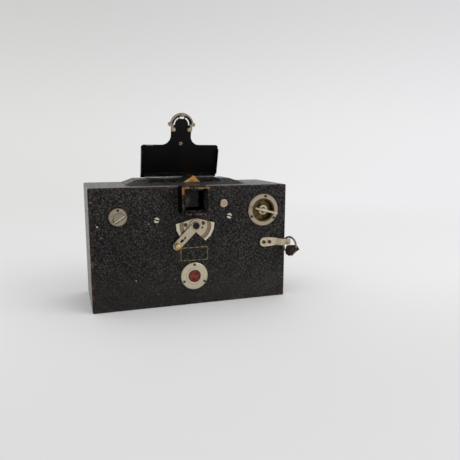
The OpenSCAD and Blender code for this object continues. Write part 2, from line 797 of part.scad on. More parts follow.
// Flat funnel that narrows along the case and widens across it.
module funnel(t) {
  intersection() {
    slab(lens_y - film_w, lens_y + film_w) polygon([[-back_half + t, housing_back + e],
      [back_half - t, housing_back + e], [2.6 - t, tube_end - t], [t - 2.6, tube_end - t]]);
    translate([-2 * back_half, 0, 0]) rotate([90, 0, 90]) linear_extrude(4 * back_half)
      polygon([[housing_near + t, housing_back + e], [housing_far - t, housing_back + e],
        [lens_y + film_w / 2 - t, tube_end - t], [lens_y - film_w / 2 + t, tube_end - t]]);
  }
}

module slit_tube() {
  color([0.07, 0.07, 0.07]) at_lens() difference() {
    translate([0, 0, -e]) funnel(0);
    funnel(1);
  }
}

module release_button() {
  color([0.75, 0.71, 0.62]) {
    translate([button_x, face + 0.2, button_z]) rotate([90, 0, 0]) rotate_extrude()
      polygon([[0, 0], [button_r, 0], [button_r, 3.6], [button_r - 0.7, 4.3], [0, 4.3]]);
    rod(button_x, button_z, face + 0.1, inner_near + 2, 1.6);
  }
}

module window_ring() {
  color([0.76, 0.72, 0.63]) difference() {
    translate([0, face, window_z]) rotate([90, 0, 0]) rotate_extrude() polygon([[glass_r, 0], [window_r, 0],
      [window_r, ring_t - 0.5], [window_r - 0.6, ring_t], [glass_r + 2, ring_t],
      [glass_r + 1.8, ring_t + 0.4], [glass_r + 0.4, ring_t + 0.4], [glass_r, ring_t]]);
    for (a = window_spots) screw_hole(window_hole_r * cos(a), window_z + window_hole_r * sin(a),
      face - ring_t, window_screw_r, ring_t + 1);
  }
}

module window_glass() {
  color([0.55, 0.12, 0.10, 0.7]) rod(0, window_z, face - 0.6, face + 1.4, glass_r);
}

module window_screws() {
  color([0.66, 0.60, 0.48]) for (a = window_spots)
    face_screw(window_hole_r * cos(a), window_z + window_hole_r * sin(a), face - ring_t, window_screw_r, a,
      ring_t + screw_in);
}

module key_flange() {
  color([0.76, 0.71, 0.61]) difference() {
    translate([key_x, face, key_z]) rotate([90, 0, 0]) rotate_extrude() polygon([[dish_r, 0], [key_ring_r, 0],
      [key_ring_r, 0.6], [key_ring_r - 0.7, ring_out], [dish_r + 0.5, ring_out], [dish_r, 1]]);
    for (a = flange_spots) screw_hole(key_x + flange_hole_r * cos(a), key_z + flange_hole_r * sin(a),
      face - ring_out, flange_screw_r, ring_out + 1);
  }
}

module flange_screws() {
  color([0.62, 0.56, 0.45]) for (a = flange_spots)
    face_screw(key_x + flange_hole_r * cos(a), key_z + flange_hole_r * sin(a), face - ring_out,
      flange_screw_r, a + 50, ring_out + screw_in);
}

module key_dish() {
  color([0.35, 0.24, 0.12]) difference() {
    rod(key_x, key_z, face, inner_near, dish_r);
    rod(key_x, key_z, face - 1, inner_near - dish_t, dish_r - dish_t);
    rod(key_x, key_z, face, inner_near + 1, spindle_r + run);
  }
}

module key_post() {
  color([0.74, 0.69, 0.6]) difference() {
    union() {
      rod(key_x, key_z, fork_y, inner_near - dish_t - free, post_r);
      rod(key_x, key_z, inner_near - dish_t - free - e, spool_near, spindle_r);
      rod(key_x, key_z, spool_near - e, spool_near + nose_l, nose_r);
      at_key() for (i = [-1, 1]) translate([i * (post_r - cheek_t / 2) - cheek_t / 2, wing_axis, 0]) {
        translate([0, 0, -cheek_r]) cube([cheek_t, fork_y - wing_axis + e, 2 * cheek_r]);
        rotate([0, 90, 0]) cylinder(h = cheek_t, r = cheek_r);
      }
    }
    at_key() translate([-post_r - 1, wing_axis, 0]) rotate([0, 90, 0])
      cylinder(h = 2 * post_r + 2, r = wing_pin_r);
  }
}

module wing_pin() {
  color([0.6, 0.57, 0.5]) at_key() translate([-post_r, wing_axis, 0]) rotate([0, 90, 0])
    cylinder(h = 2 * post_r, r = wing_pin_r);
}

module key_wing() {
  low = wing_axis - cheek_r - free;
  root = post_r - cheek_t - free;
  color([0.78, 0.73, 0.64]) at_key() difference() {
    union() {
      translate([0, 0, -wing_t / 2]) linear_extrude(wing_t) {
        translate([0, low - wing_h / 2]) soft_rect(2 * wing_half, wing_h, wing_h / 2 - 0.2);
        translate([-root, low - 1]) square([2 * root, wing_axis - low + 1]);
      }
      translate([-root, wing_axis, 0]) rotate([0, 90, 0]) cylinder(h = 2 * root, r = 2 * wing_pin_r);
    }
    translate([-root - 1, wing_axis, 0]) rotate([0, 90, 0]) cylinder(h = 2 * root + 2, r = wing_pin_r + run);
  }
}

module spool_core(x, z) {
  difference() {
    rod(x, z, spool_near, spool_far, core_r);
    rod(x, z, spool_far - 7, spool_far + 1, spool_pin_r + run);
    rod(x, z, spool_near - 1, spool_near + nose_l + 1, nose_r + run);
  }
}

module spool_flanges(x, z) {
  for (y = [spool_near + 1.2, spool_far - 2.2]) difference() {
    rod(x, z, y, y + 1, spool_r);
    rod(x, z, y - 1, y + 2, core_r);
  }
}

module takeup_core() color([0.55, 0.4, 0.24]) spool_core(key_x, key_z);

module takeup_flanges() color([0.08, 0.08, 0.08]) spool_flanges(key_x, key_z);

module feed_core() color([0.55, 0.4, 0.24]) spool_core(feed_x, feed_z);

module feed_flanges() color([0.08, 0.08, 0.08]) spool_flanges(feed_x, feed_z);

module feed_knob() {
  top = face - knob_t;
  color([0.75, 0.70, 0.6]) difference() {
    union() {
      translate([feed_x, face, feed_z]) rotate([90, 0, 0]) rotate_extrude() polygon([[0, 0], [feed_r, 0],
        [feed_r, knob_t - 0.7], [feed_r - 0.7, knob_t], [0, knob_t]]);
      rod(feed_x, feed_z, face - e, plate_far, spindle_r);
      rod(feed_x, feed_z, plate_far - e, spool_near + nose_l, nose_r);
    }
    at_leaf() {
      slab(top - 1, top + leaf_recess) intersection() {
        circle(leaf_r + free);
        translate([-feed_r, -1.1]) square(2 * feed_r);
      }
      translate([-leaf_r - 0.7, leaf_axis, 0]) rotate([0, 90, 0])
        cylinder(h = 2 * leaf_r + 1.4, r = leaf_pin_r);
    }
    rod(feed_x, feed_z + feed_r - 1.6, top - 1, top + 0.8, 0.8);
  }
}

module feed_leaf() {
  top = face - knob_t;
  color([0.72, 0.68, 0.58]) at_leaf() difference() {
    union() {
      slab(top + 0.3, top + 1.25) intersection() {
        circle(leaf_r);
        translate([-feed_r, 0]) square(2 * feed_r);
      }
      translate([0.2 - leaf_r, leaf_axis, 0]) rotate([0, 90, 0]) cylinder(h = 2 * leaf_r - 0.4, r = 0.8);
    }
    translate([-leaf_r, leaf_axis, 0]) rotate([0, 90, 0]) cylinder(h = 2 * leaf_r, r = leaf_pin_r + run);
  }
}

module leaf_pin() {
  color([0.6, 0.57, 0.5]) at_leaf() translate([-leaf_r - 0.7, leaf_axis, 0]) rotate([0, 90, 0])
    cylinder(h = 2 * leaf_r + 1.4, r = leaf_pin_r);
}

module strap_lug() {
  crest = face - hump_in;
  neck = eye_x - 8.3;
  tip = eye_x + 6;
  middle = lug_start + lug_w / 2;
  color([0.76, 0.71, 0.6]) difference() {
    union() {
      rod(middle, lug_z, face - lug_t, face, lug_w / 2);
      intersection() {
        translate([0, 0, lug_z - lug_w]) linear_extrude(2 * lug_w) polygon([[middle, face],
          [eye_x - 7.7, face], [eye_x - 4, crest], [tip - 2.6, crest], [tip - lug_t, crest + 1.4],
          [tip - lug_t, crest + 2.6], [tip, crest + 2.6], [tip, crest + 0.9], [tip - 2.1, crest - lug_t],
          [eye_x - 4.6, crest - lug_t], [neck, face - lug_t], [middle, face - lug_t]]);
        translate([0, 0, lug_z]) slab(crest - 2 * lug_t, face + 1) polygon([[middle - 1, lug_w / 2],
          [middle + 5, lug_w / 2], [eye_x - 2, lug_end_w / 2], [tip - 1.2, lug_end_w / 2],
          [tip, lug_end_w / 2 - 1.2], [tip, 1.2 - lug_end_w / 2], [tip - 1.2, -lug_end_w / 2],
          [eye_x - 2, -lug_end_w / 2], [middle + 5, -lug_w / 2], [middle - 1, -lug_w / 2]]);
      }
    }
    translate([eye_x, eye_y, lug_z - lug_w]) cylinder(h = 2 * lug_w, r = eye_y - crest + 0.3);
    for (s = lug_spots) screw_hole(lug_start + s, lug_z, face - lug_t, lug_screw_r, lug_t + 1);
  }
}

module lug_screws() {
  color([0.55, 0.49, 0.4]) for (s = lug_spots)
    face_screw(lug_start + s, lug_z, face - lug_t, lug_screw_r, 25 + 8 * s, lug_t + screw_in);
}

// The ring's wire passes down through the eye, and the ring is turned about it.
module at_ring() translate([eye_x, eye_y, lug_z - ring_drop]) rotate([0, 0, -ring_turn])
  translate([sqrt(pow(ring_r, 2) - pow(ring_drop, 2)), 0, 0]) children();

module strap_ring() {
  color([0.72, 0.68, 0.6]) at_ring() rotate([90, 0, 0]) rotate_extrude()
    translate([ring_r, 0]) circle(wire_r);
}

module strap_stub() {
  color([0.16, 0.09, 0.06]) at_ring() difference() {
    slab(-strap_t / 2, strap_t / 2) polygon([[-3.4, -0.8 - ring_r], [1.4, -2.8 - ring_r],
      [ring_r + 3, -2.6], [ring_r - 0.2, 0.8], [-3, -1]]);
    rotate([90, 0, 0]) rotate_extrude() translate([ring_r, 0]) circle(wire_r);
  }
}

module tripod_bush() {
  color([0.75, 0.6, 0.32]) difference() {
    rod(0, tripod_z, bush_near, rear, bush_r);
    rod(0, tripod_z, bush_near - 1, rear + 1, tripod_r);
  }
}

case_shell();
panel_screws();
label_frame();
front_block();
back_cover();
back_pins();
mech_plate();
film_gate();
roller_axles();
roller_left();
roller_right();
spool_pivots();
lid_plate();
lid_leaf();
fixed_leaf();
hinge_pin();
lid_catch();
catch_rivets();
lid_stud();
catch_plate();
finder_hood();
finder_box();
finder_mirror();
finder_glass();
finder_lens();
sector_plate();
sector_screws();
swing_lever();
lever_knob();
pivot_screw();
swing_shaft();
shaft_bushes();
lens_housing();
lens_front();
lens_barrel();
front_lens();
rear_lens();
slit_tube();
release_button();
window_ring();
window_glass();
window_screws();
key_flange();
flange_screws();
key_dish();
key_post();
key_wing();
wing_pin();
takeup_core();
takeup_flanges();
feed_core();
feed_flanges();
feed_knob();
feed_leaf();
leaf_pin();
strap_lug();
lug_screws();
strap_ring();
strap_stub();
tripod_bush();
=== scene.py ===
import math

import bpy
import numpy as np
from mathutils import Matrix, Vector


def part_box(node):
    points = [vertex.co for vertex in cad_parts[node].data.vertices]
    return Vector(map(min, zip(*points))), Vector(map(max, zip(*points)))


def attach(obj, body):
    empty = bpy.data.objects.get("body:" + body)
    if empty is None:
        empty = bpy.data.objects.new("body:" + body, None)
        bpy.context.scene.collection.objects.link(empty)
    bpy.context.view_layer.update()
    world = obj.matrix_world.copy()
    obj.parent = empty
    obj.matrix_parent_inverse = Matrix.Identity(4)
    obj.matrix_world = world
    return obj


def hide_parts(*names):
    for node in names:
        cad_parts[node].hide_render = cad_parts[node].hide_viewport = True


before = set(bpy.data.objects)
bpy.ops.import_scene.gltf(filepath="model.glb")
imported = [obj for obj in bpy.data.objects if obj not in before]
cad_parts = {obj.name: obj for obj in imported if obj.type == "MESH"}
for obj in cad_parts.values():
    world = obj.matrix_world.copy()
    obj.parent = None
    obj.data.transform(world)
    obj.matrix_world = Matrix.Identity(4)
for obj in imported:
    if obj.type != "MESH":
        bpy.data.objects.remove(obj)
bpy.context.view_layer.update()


# The case is a wooden box covered in black pebbled leather, glued on and turned over the edges. Its back
# cover and the block on its front are covered alike. Handling has rubbed their edges and corners brown and
# knocked a few chips out of the control face. The block's edges are instead lighter grey, a painted
# highlight.
mm = 0.001
case_low, case_high = (Vector(corner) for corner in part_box("case_shell"))
case_mid = (case_low + case_high) / 2
case_half = (case_high - case_low) / 2
block_low, block_high = (Vector(corner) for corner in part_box("front_block"))
bank_run, bank_rise = 17 * mm, 8 * mm
leather_black = (0.0560, 0.0508, 0.0470)
leather_groove = (0.0022, 0.0022, 0.0021)
leather_rubbed = (0.110, 0.044, 0.024)
leather_bare = (0.42, 0.35, 0.25)
# Grey for the block's edges: a painted highlight
block_edge_highlight = (0.070, 0.066, 0.060)
inside_black = (0.008, 0.0077, 0.0074)
# Black for painted shade on the hood's sides
painted_shade_black = (0.0015, 0.0015, 0.0015)
# The grain: pebbles drawn out into ridges that slant by an angle in radians
pebble_size = 2.0 * mm
ridge_slant = -0.8
ridge_squeeze = 0.68
grain_depth = 0.28 * mm
# Shares of a pebble's size or height: the swirls that bend the grain, the reach of its grooves, the
# wrinkles on it, and the heights between which it goes from the groove's colour to its own. That dark
# groove colour and the lighter tops and wrinkles are partly the grain's own colour and partly painted
# shade and painted highlight.
swirl_size, swirl_reach = 1.6, 0.45
groove_reach = 0.44
wrinkle_size, wrinkle_height = 1.3, 0.55
top_heights = (0.15, 1.45)
# A wrinkle starts and is full where its noise is this near to the middle
wrinkle_span = (0.12, 0.01)
# How the tone differs from pebble to pebble and in wide clouds, and the painted light that makes it paler
# towards the right and the top of the case
pebble_tones, cloud_tones, painted_light_tones = (0.84, 1.06), (0.8, 1.2), (0.93, 1.18)
cloud_size = 26 * mm
painted_light_right, painted_light_high = (-30 * mm, 70 * mm), (55 * mm, 95 * mm)
# Painted light from above: lower down, between these heights, the pebble tops lose their painted
# highlight and go towards one even tone
highlight_fade_heights = (50 * mm, 8 * mm)
highlight_fade_share, highlight_fade_tone = 0.45, 0.42
# Each chip: across and up the control face in millimetres, its radius, and how far it goes from brown
# to bare. Its colour fades between two shares of that radius.
front_chips = (
    (-83.3, 75.7, 0.75, 0.9), (-84.6, 77.4, 0.45, 0.6), (-80.6, 65.8, 0.55, 0.55), (-40.1, 76.1, 0.60, 1.0),
    (-52.5, 26.5, 0.60, 1.0), (-33.2, 12.2, 0.70, 0.12), (-64.5, 96.5, 0.90, 0.0), (-73.5, 94.8, 1.30, -0.3),
    (-17.5, 25.0, 0.70, 0.12), (-88.0, 96.0, 0.90, 0.15), (-81.0, 100.5, 0.70, 0.0))
chip_outer, chip_inner = 1.3, 0.6


def add(tree, kind, inputs=None, **settings):
    """A node with its settings; each input is a plain value or another node's socket."""
    node = tree.nodes.new("ShaderNode" + kind)
    for key, value in settings.items():
        setattr(node, key, value)
    for key, value in (inputs or {}).items():
        if isinstance(value, bpy.types.NodeSocket):
            tree.links.new(value, node.inputs[key])
        else:
            node.inputs[key].default_value = value
    return node


def paint(name):
    """A new material with its node tree, its shader and a socket with the place on the piece in metres."""
    material = bpy.data.materials.new(name)
    material.use_nodes = True
    tree = material.node_tree
    return material, tree, tree.nodes["Principled BSDF"], add(tree, "TexCoord").outputs["Object"]


def coat(tree, shader, colour, roughness):
    """Links a colour and a roughness to the shader."""
    tree.links.new(colour, shader.inputs["Base Color"])
    tree.links.new(roughness, shader.inputs["Roughness"])


def roughen(tree, shader, height, strength, depth, under=None):
    """Links a bump of that height to the shader, on top of another normal where one is given."""
    bump = add(tree, "Bump", {"Height": height, "Strength": strength, "Distance": depth})
    if under is not None:
        tree.links.new(under, bump.inputs["Normal"])
    tree.links.new(bump.outputs["Normal"], shader.inputs["Normal"])


def reckon(tree, operation, first, second=0.0):
    """One sum on two numbers or sockets."""
    return add(tree, "Math", {0: first, 1: second}, operation=operation).outputs[0]


def plus(tree, first, second):
    """Two numbers or sockets added."""
    return reckon(tree, "ADD", first, second)


def times(tree, first, second):
    """Two numbers or sockets multiplied."""
    return reckon(tree, "MULTIPLY", first, second)


def most(tree, first, second):
    """The larger of two numbers or sockets."""
    return reckon(tree, "MAXIMUM", first, second)


def least(tree, first, second):
    """The smaller of two numbers or sockets."""
    return reckon(tree, "MINIMUM", first, second)


def apart(tree, first, second):
    """How far two numbers or sockets lie apart."""
    return reckon(tree, "ABSOLUTE", reckon(tree, "SUBTRACT", first, second))


def scaled(tree, value, low, high):
    """A value from 0 to 1 moved to run from low to high."""
    return plus(tree, low, times(tree, value, high - low))


def fade(tree, value, start, stop):
    """0 before start and 1 past stop, with a smooth step between; start may be the larger."""
    steps = {"Value": value, "From Min": start, "From Max": stop}
    return add(tree, "MapRange", steps, interpolation_type="SMOOTHSTEP").outputs["Result"]


def tint(tree, share, first, second):
    """A colour that goes from first to second as share goes from 0 to 1."""
    node = add(tree, "Mix", data_type="RGBA")
    for socket, value in ((node.inputs[0], share), (node.inputs[6], first), (node.inputs[7], second)):
        if isinstance(value, bpy.types.NodeSocket):
            tree.links.new(value, socket)
        elif isinstance(value, tuple):
            socket.default_value = (*value, 1)
        else:
            socket.default_value = value
    return node.outputs[2]


def mottle(tree, place, size, detail=3.0, roughness=0.55):
    """Uneven blotches about size across, from 0 to 1."""
    noise = {"Vector": place, "Scale": 1 / size, "Detail": detail, "Roughness": roughness}
    return add(tree, "TexNoise", noise).outputs["Fac"]


def patches(tree, place, size, start, stop, detail=3.0, roughness=0.55):
    """Blotches with an edge: 0 where they are below start and 1 where they are past stop."""
    return fade(tree, mottle(tree, place, size, detail, roughness), start, stop)


def split(tree, place):
    """The x, y and z of a place."""
    return add(tree, "SeparateXYZ", {0: place}).outputs


def vector(tree, operation, first, second=(0, 0, 0)):
    """A vector sum; gives the node, whose Vector or Value output is the answer."""
    return add(tree, "VectorMath", {0: first, 1: second}, operation=operation)


def shaken(tree, place, size, amount):
    """The place moved about by up to that amount, in swirls of that size."""
    swirl = add(tree, "TexNoise", {"Vector": place, "Scale": 1 / size, "Detail": 1.0}).outputs["Color"]
    shift = vector(tree, "SUBTRACT", swirl, (0.5, 0.5, 0.5)).outputs[0]
    push = add(tree, "VectorMath", {0: shift, "Scale": 2 * amount}, operation="SCALE").outputs[0]
    return vector(tree, "ADD", place, push).outputs[0]


def edge_rub(tree, reach):
    """1 on an edge and 0 on a flat: how far a normal rounded over that reach leaves the true one."""
    rounded = add(tree, "Bevel", {"Radius": reach}, samples=6).outputs["Normal"]
    true = add(tree, "NewGeometry").outputs["True Normal"]
    return fade(tree, vector(tree, "DOT_PRODUCT", rounded, true).outputs["Value"], 0.985, 0.82)


def dress(material, *names):
    """Puts the material on each of these nodes of the frame."""
    for name in names:
        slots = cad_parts[name].data.materials
        slots.clear()
        slots.append(material)


def pebbled(tree, place, size):
    """Leather grain: the height of rounded cells of that size with grooves between, drawn out into slanting
    ridges and wrinkled, and a tone for each cell."""
    turned = add(tree, "Mapping", {"Vector": place, "Rotation": (0.0, ridge_slant, 0.0)}).outputs[0]
    grain = add(tree, "Mapping", {"Vector": turned, "Scale": (ridge_squeeze, 1.0, 1.0)}).outputs[0]
    moved = shaken(tree, grain, swirl_size * size, swirl_reach * size)
    groove = add(tree, "TexVoronoi", {"Vector": moved, "Scale": 1 / size}, feature="DISTANCE_TO_EDGE")
    cell = add(tree, "TexVoronoi", {"Vector": moved, "Scale": 1 / size}, feature="F1")
    dome = fade(tree, groove.outputs["Distance"], 0.0, groove_reach)
    tone = add(tree, "SeparateColor", {0: cell.outputs["Color"]}).outputs[0]
    swell = apart(tree, mottle(tree, grain, wrinkle_size * size, 2.0, 0.5), 0.5)
    wrinkle = fade(tree, swell, *wrinkle_span)
    return plus(tree, dome, times(tree, wrinkle, wrinkle_height)), tone


def outermost(tree, place):
    """Three distances from a spot to the case: to its nearest face, to that face's nearest edge, and to a
    corner."""
    offset = vector(tree, "SUBTRACT", place, tuple(case_mid)).outputs[0]
    spread = vector(tree, "ABSOLUTE", offset).outputs[0]
    x, y, z = split(tree, vector(tree, "SUBTRACT", spread, tuple(case_half)).outputs[0])
    larger = most(tree, x, y)
    smaller = least(tree, x, y)
    edge = most(tree, smaller, least(tree, larger, z))
    return most(tree, larger, z), edge, least(tree, smaller, z)


def block_bank(tree, place):
    """The covering on top banks up to the block's front: 0 at the bank's foot and 1 at the block."""
    x, y, z = split(tree, place)
    slope = {"Value": y, "From Min": block_low.y - bank_run, "From Max": block_low.y}
    up = add(tree, "MapRange", slope).outputs[0]
    up = times(tree, up, fade(tree, y, block_low.y + 4 * mm, block_low.y + 1 * mm))
    up = times(tree, up, fade(tree, z, case_high.z - 2 * mm, case_high.z - 1 * mm))
    aside = apart(tree, x, (block_low.x + block_high.x) / 2)
    half = (block_high.x - block_low.x) / 2
    return times(tree, up, fade(tree, aside, half + 2 * mm, half - 6 * mm))


def leather(name, rub_and_highlight_of, rubbed, chips=(), inside=False, sheen=0.58, painted_shade_of=None, shine=0.15):
    """Pebbled leather, worn to the given rubbed colour where the rub mask says so and bare on the worst; on
    the block that colour is a painted edge highlight. Where the shade mask says so, painted shade makes it
    black and duller. A piece with an inside is black there, and its covering banks up to the block."""
    material, tree, shader, place = paint(name)
    height, tone = pebbled(tree, place, pebble_size)
    clouds = patches(tree, place, cloud_size, 0.35, 0.7, 4.0)
    across, _, up = split(tree, place)
    # Painted light: the pebble tops are made paler towards the right and the top of the case
    pale = most(tree, fade(tree, across, *painted_light_right), fade(tree, up, *painted_light_high))
    # Painted light from above: the tops' painted highlight fades to an even tone lower down
    smooth = times(tree, fade(tree, up, *highlight_fade_heights), highlight_fade_share)
    # The tops are lighter than the grooves partly by the grain's own colour, partly as painted highlight and
    # shade
    tops = times(tree, fade(tree, height, *top_heights), scaled(tree, tone, *pebble_tones))
    tops = add(tree, "Mix", {"Factor": smooth, "A": tops, "B": highlight_fade_tone}).outputs["Result"]
    tops = times(tree, tops, scaled(tree, clouds, *cloud_tones))
    tops = times(tree, tops, scaled(tree, pale, *painted_light_tones))
    colour = tint(tree, tops, leather_groove, leather_black)
    rub = rub_and_highlight_of(tree, place)
    if callable(rubbed):
        rubbed = rubbed(tree, place)
    # Rubbed patches along the mask; on the block they carry the painted edge highlight
    patchy_rub_and_highlight = times(tree, rub, patches(tree, place, 5 * mm, 0.47, 0.66, 6.0, 0.7))
    colour = tint(tree, times(tree, patchy_rub_and_highlight, 0.8), colour, rubbed)
    flecks = patches(tree, place, 1.6 * mm, 0.54, 0.68, 4.0, 0.7)
    bare = times(tree, fade(tree, patchy_rub_and_highlight, 0.72, 1.0), flecks)
    colour = tint(tree, times(tree, bare, 0.6), colour, leather_bare)
    torn = shaken(tree, place, 0.9 * mm, 0.55 * mm)
    for chip_x, chip_z, radius, paleness in chips:
        spot = (chip_x * mm, case_low.y, chip_z * mm)
        gap = vector(tree, "DISTANCE", torn, spot).outputs["Value"]
        chipped = fade(tree, gap, chip_outer * radius * mm, chip_inner * radius * mm)
        shown = tuple(max(a + (b - a) * paleness, 0.01) for a, b in zip(rubbed, leather_bare))
        colour = tint(tree, chipped, colour, shown)
    gloss = scaled(tree, fade(tree, height, 0.1, 1.0), 0.52, 0.26)
    # Painted shade: where its mask says so, the leather goes black and duller
    if painted_shade_of:
        painted_shade = painted_shade_of(tree, place)
        colour = tint(tree, painted_shade, colour, painted_shade_black)
        gloss = plus(tree, gloss, times(tree, painted_shade, 0.4))
    gloss = plus(tree, gloss, times(tree, patchy_rub_and_highlight, 0.2))
    bank_normal = None
    if inside:
        depth = fade(tree, outermost(tree, place)[0], -1.2 * mm, -2.2 * mm)
        colour = tint(tree, depth, colour, inside_black)
        gloss = plus(tree, gloss, times(tree, depth, 0.25))
        slope = {"Height": block_bank(tree, place), "Strength": 1.0, "Distance": bank_rise}
        bank_normal = add(tree, "Bump", slope).outputs["Normal"]
    coat(tree, shader, colour, gloss)
    shader.inputs["Specular IOR Level"].default_value = shine
    shader.inputs["Sheen Weight"].default_value = sheen
    shader.inputs["Sheen Roughness"].default_value = 0.22
    roughen(tree, shader, height, 0.65, grain_depth, bank_normal)
    return material


def case_rub(tree, place):
    """The case is rubbed along its twelve edges, in a strip of uneven width that widens at the corners."""
    _, edge, corner = outermost(tree, place)
    x, _, z = split(tree, place)
    held = most(tree, fade(tree, x, case_low.x + 6 * mm, case_low.x + 2 * mm),
                fade(tree, z, case_low.z + 6 * mm, case_low.z + 2 * mm))
    edge = plus(tree, edge, scaled(tree, held, -0.3 * mm, 0.9 * mm))
    wide = times(tree, mottle(tree, place, 20 * mm, 3.0), 4.6 * mm)
    wide = plus(tree, wide, times(tree, fade(tree, corner, -14 * mm, -1 * mm), 2.2 * mm))
    return fade(tree, plus(tree, edge, wide), 0.4 * mm, 2.0 * mm)


def corner_rub_and_highlight(tree, place):
    """A small covered piece is rubbed wherever it has a corner; on the block the same mask carries a painted
    highlight.
    """
    return edge_rub(tree, 0.9 * mm)


dress(leather("covered_case", case_rub, leather_rubbed, front_chips, inside=True), "case_shell")
dress(leather("covered_cover", corner_rub_and_highlight, leather_rubbed), "back_cover")
# The block's edges take a painted highlight in grey where the other pieces are rubbed brown
dress(leather("covered_block", corner_rub_and_highlight, block_edge_highlight, sheen=0.40), "front_block")


# The finder's hood is a square leather-covered tube in front of the case, its sides made a deeper black
# by painted shade.
# Its front rim has lost the black, most of all along the top and at its left upper corner.
hood_low, hood_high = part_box("finder_hood")
hood_tan = (0.36, 0.20, 0.115)
hood_orange = (0.28, 0.105, 0.040)
worn_strength, faint_strength = 1.5, 0.85


def hood_rub(tree, place):
    """The hood's front rim is rubbed all along its top and down its left upper corner, and more faintly
    along its sides and its foot."""
    x, y, z = split(tree, shaken(tree, place, 3 * mm, 0.5 * mm))
    rim = fade(tree, y, hood_low[1] + 1.6 * mm, hood_low[1] + 0.5 * mm)
    top = fade(tree, z, hood_high[2] - 2.6 * mm, hood_high[2] - 1.6 * mm)
    left = fade(tree, x, hood_low[0] + 2.2 * mm, hood_low[0] + 1.3 * mm)
    corner = times(tree, left, fade(tree, z, hood_high[2] - 7.5 * mm, hood_high[2] - 5.5 * mm))
    worn = times(tree, rim, most(tree, top, corner))
    outside = most(tree, fade(tree, x, hood_low[0] + 1.1 * mm, hood_low[0] + 0.5 * mm),
                   fade(tree, x, hood_high[0] - 1.1 * mm, hood_high[0] - 0.5 * mm))
    outside = most(tree, outside, fade(tree, z, hood_low[2] + 1.2 * mm, hood_low[2] + 0.5 * mm))
    faint = times(tree, times(tree, rim, outside), faint_strength)
    return most(tree, times(tree, worn, worn_strength), faint)


def hood_colour(tree, place):
    """Rubbed leather is orange at the hood's left and tan further right."""
    right = fade(tree, split(tree, place)[0], hood_low[0] + 3 * mm, hood_low[0] + 8 * mm)
    return tint(tree, right, hood_orange, hood_tan)


def hood_side_shade(tree, place):
    """Painted shade: the hood's two sides are made a deeper black behind the front rim."""
    x, y, _ = split(tree, place)
    left = fade(tree, x, hood_low[0] + 0.9 * mm, hood_low[0] + 0.4 * mm)
    right = fade(tree, x, hood_high[0] - 0.9 * mm, hood_high[0] - 0.4 * mm)
    behind = fade(tree, y, hood_low[1] + 0.8 * mm, hood_low[1] + 1.4 * mm)
    return times(tree, most(tree, left, right), behind)


hood_leather = leather("covered_hood", hood_rub, hood_colour, sheen=0.0, painted_shade_of=hood_side_shade, shine=0.04)
dress(hood_leather, "finder_hood")


# Inside, the plates, the film gate, the spool ends and the lens tube are metal blackened against
# stray light. The black has rubbed through to brass on their edges.
blackened = (0.011, 0.0106, 0.0102)
blackened_dust = (0.030, 0.028, 0.026)
rubbed_brass = (0.42, 0.27, 0.11)


def dusty_black(tree, place):
    """Dull black with dust on it, and where the dust lies."""
    dust = patches(tree, place, 7 * mm, 0.48, 0.72, 5.0)
    return tint(tree, dust, blackened, blackened_dust), dust


def black_metal(name):
    """Dull black on metal, dusty in places, with brass showing on the edges."""
    material, tree, shader, place = paint(name)
    colour, dust = dusty_black(tree, place)
    rub = times(tree, edge_rub(tree, 0.35 * mm), patches(tree, place, 1.8 * mm, 0.50, 0.62, 5.0, 0.7))
    coat(tree, shader, tint(tree, rub, colour, rubbed_brass), scaled(tree, dust, 0.42, 0.62))
    tree.links.new(rub, shader.inputs["Metallic"])
    shader.inputs["Specular IOR Level"].default_value = 0.3
    roughen(tree, shader, mottle(tree, place, 0.5 * mm, 4.0), 0.15, 0.05 * mm)
    return material


dress(black_metal("blackened_metal"), "mech_plate", "film_gate", "finder_box", "lens_barrel", "slit_tube",
      "feed_flanges", "takeup_flanges")


# The lid is sheet metal in a black lacquer, chipped to bright metal along its edges and at its left
# shoulder. Its hinge is black too, but the knuckles have worn to bare metal, most of all at the left.
lacquer = (0.0042, 0.0041, 0.0042)
bare_sheet = (0.40, 0.40, 0.40)
shoulder_width = 6 * mm


def points_of(name):
    """The points of a node's mesh, one row of x, y and z for each."""
    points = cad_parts[name].data.vertices
    flat = np.empty(3 * len(points), dtype=np.float32)
    points.foreach_get("co", flat)
    return flat.reshape(-1, 3).astype(float)


lid_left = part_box("lid_plate")[0][0]
hinge_low, hinge_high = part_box("hinge_pin")
hinge_y = (hinge_low[1] + hinge_high[1]) / 2
hinge_z = (hinge_low[2] + hinge_high[2]) / 2
lid_points = points_of("lid_plate")
lid_side = lid_points[lid_points[:, 0] < lid_left + shoulder_width]
lid_edge = float(np.hypot(lid_side[:, 1] - hinge_y, lid_side[:, 2] - hinge_z).max())


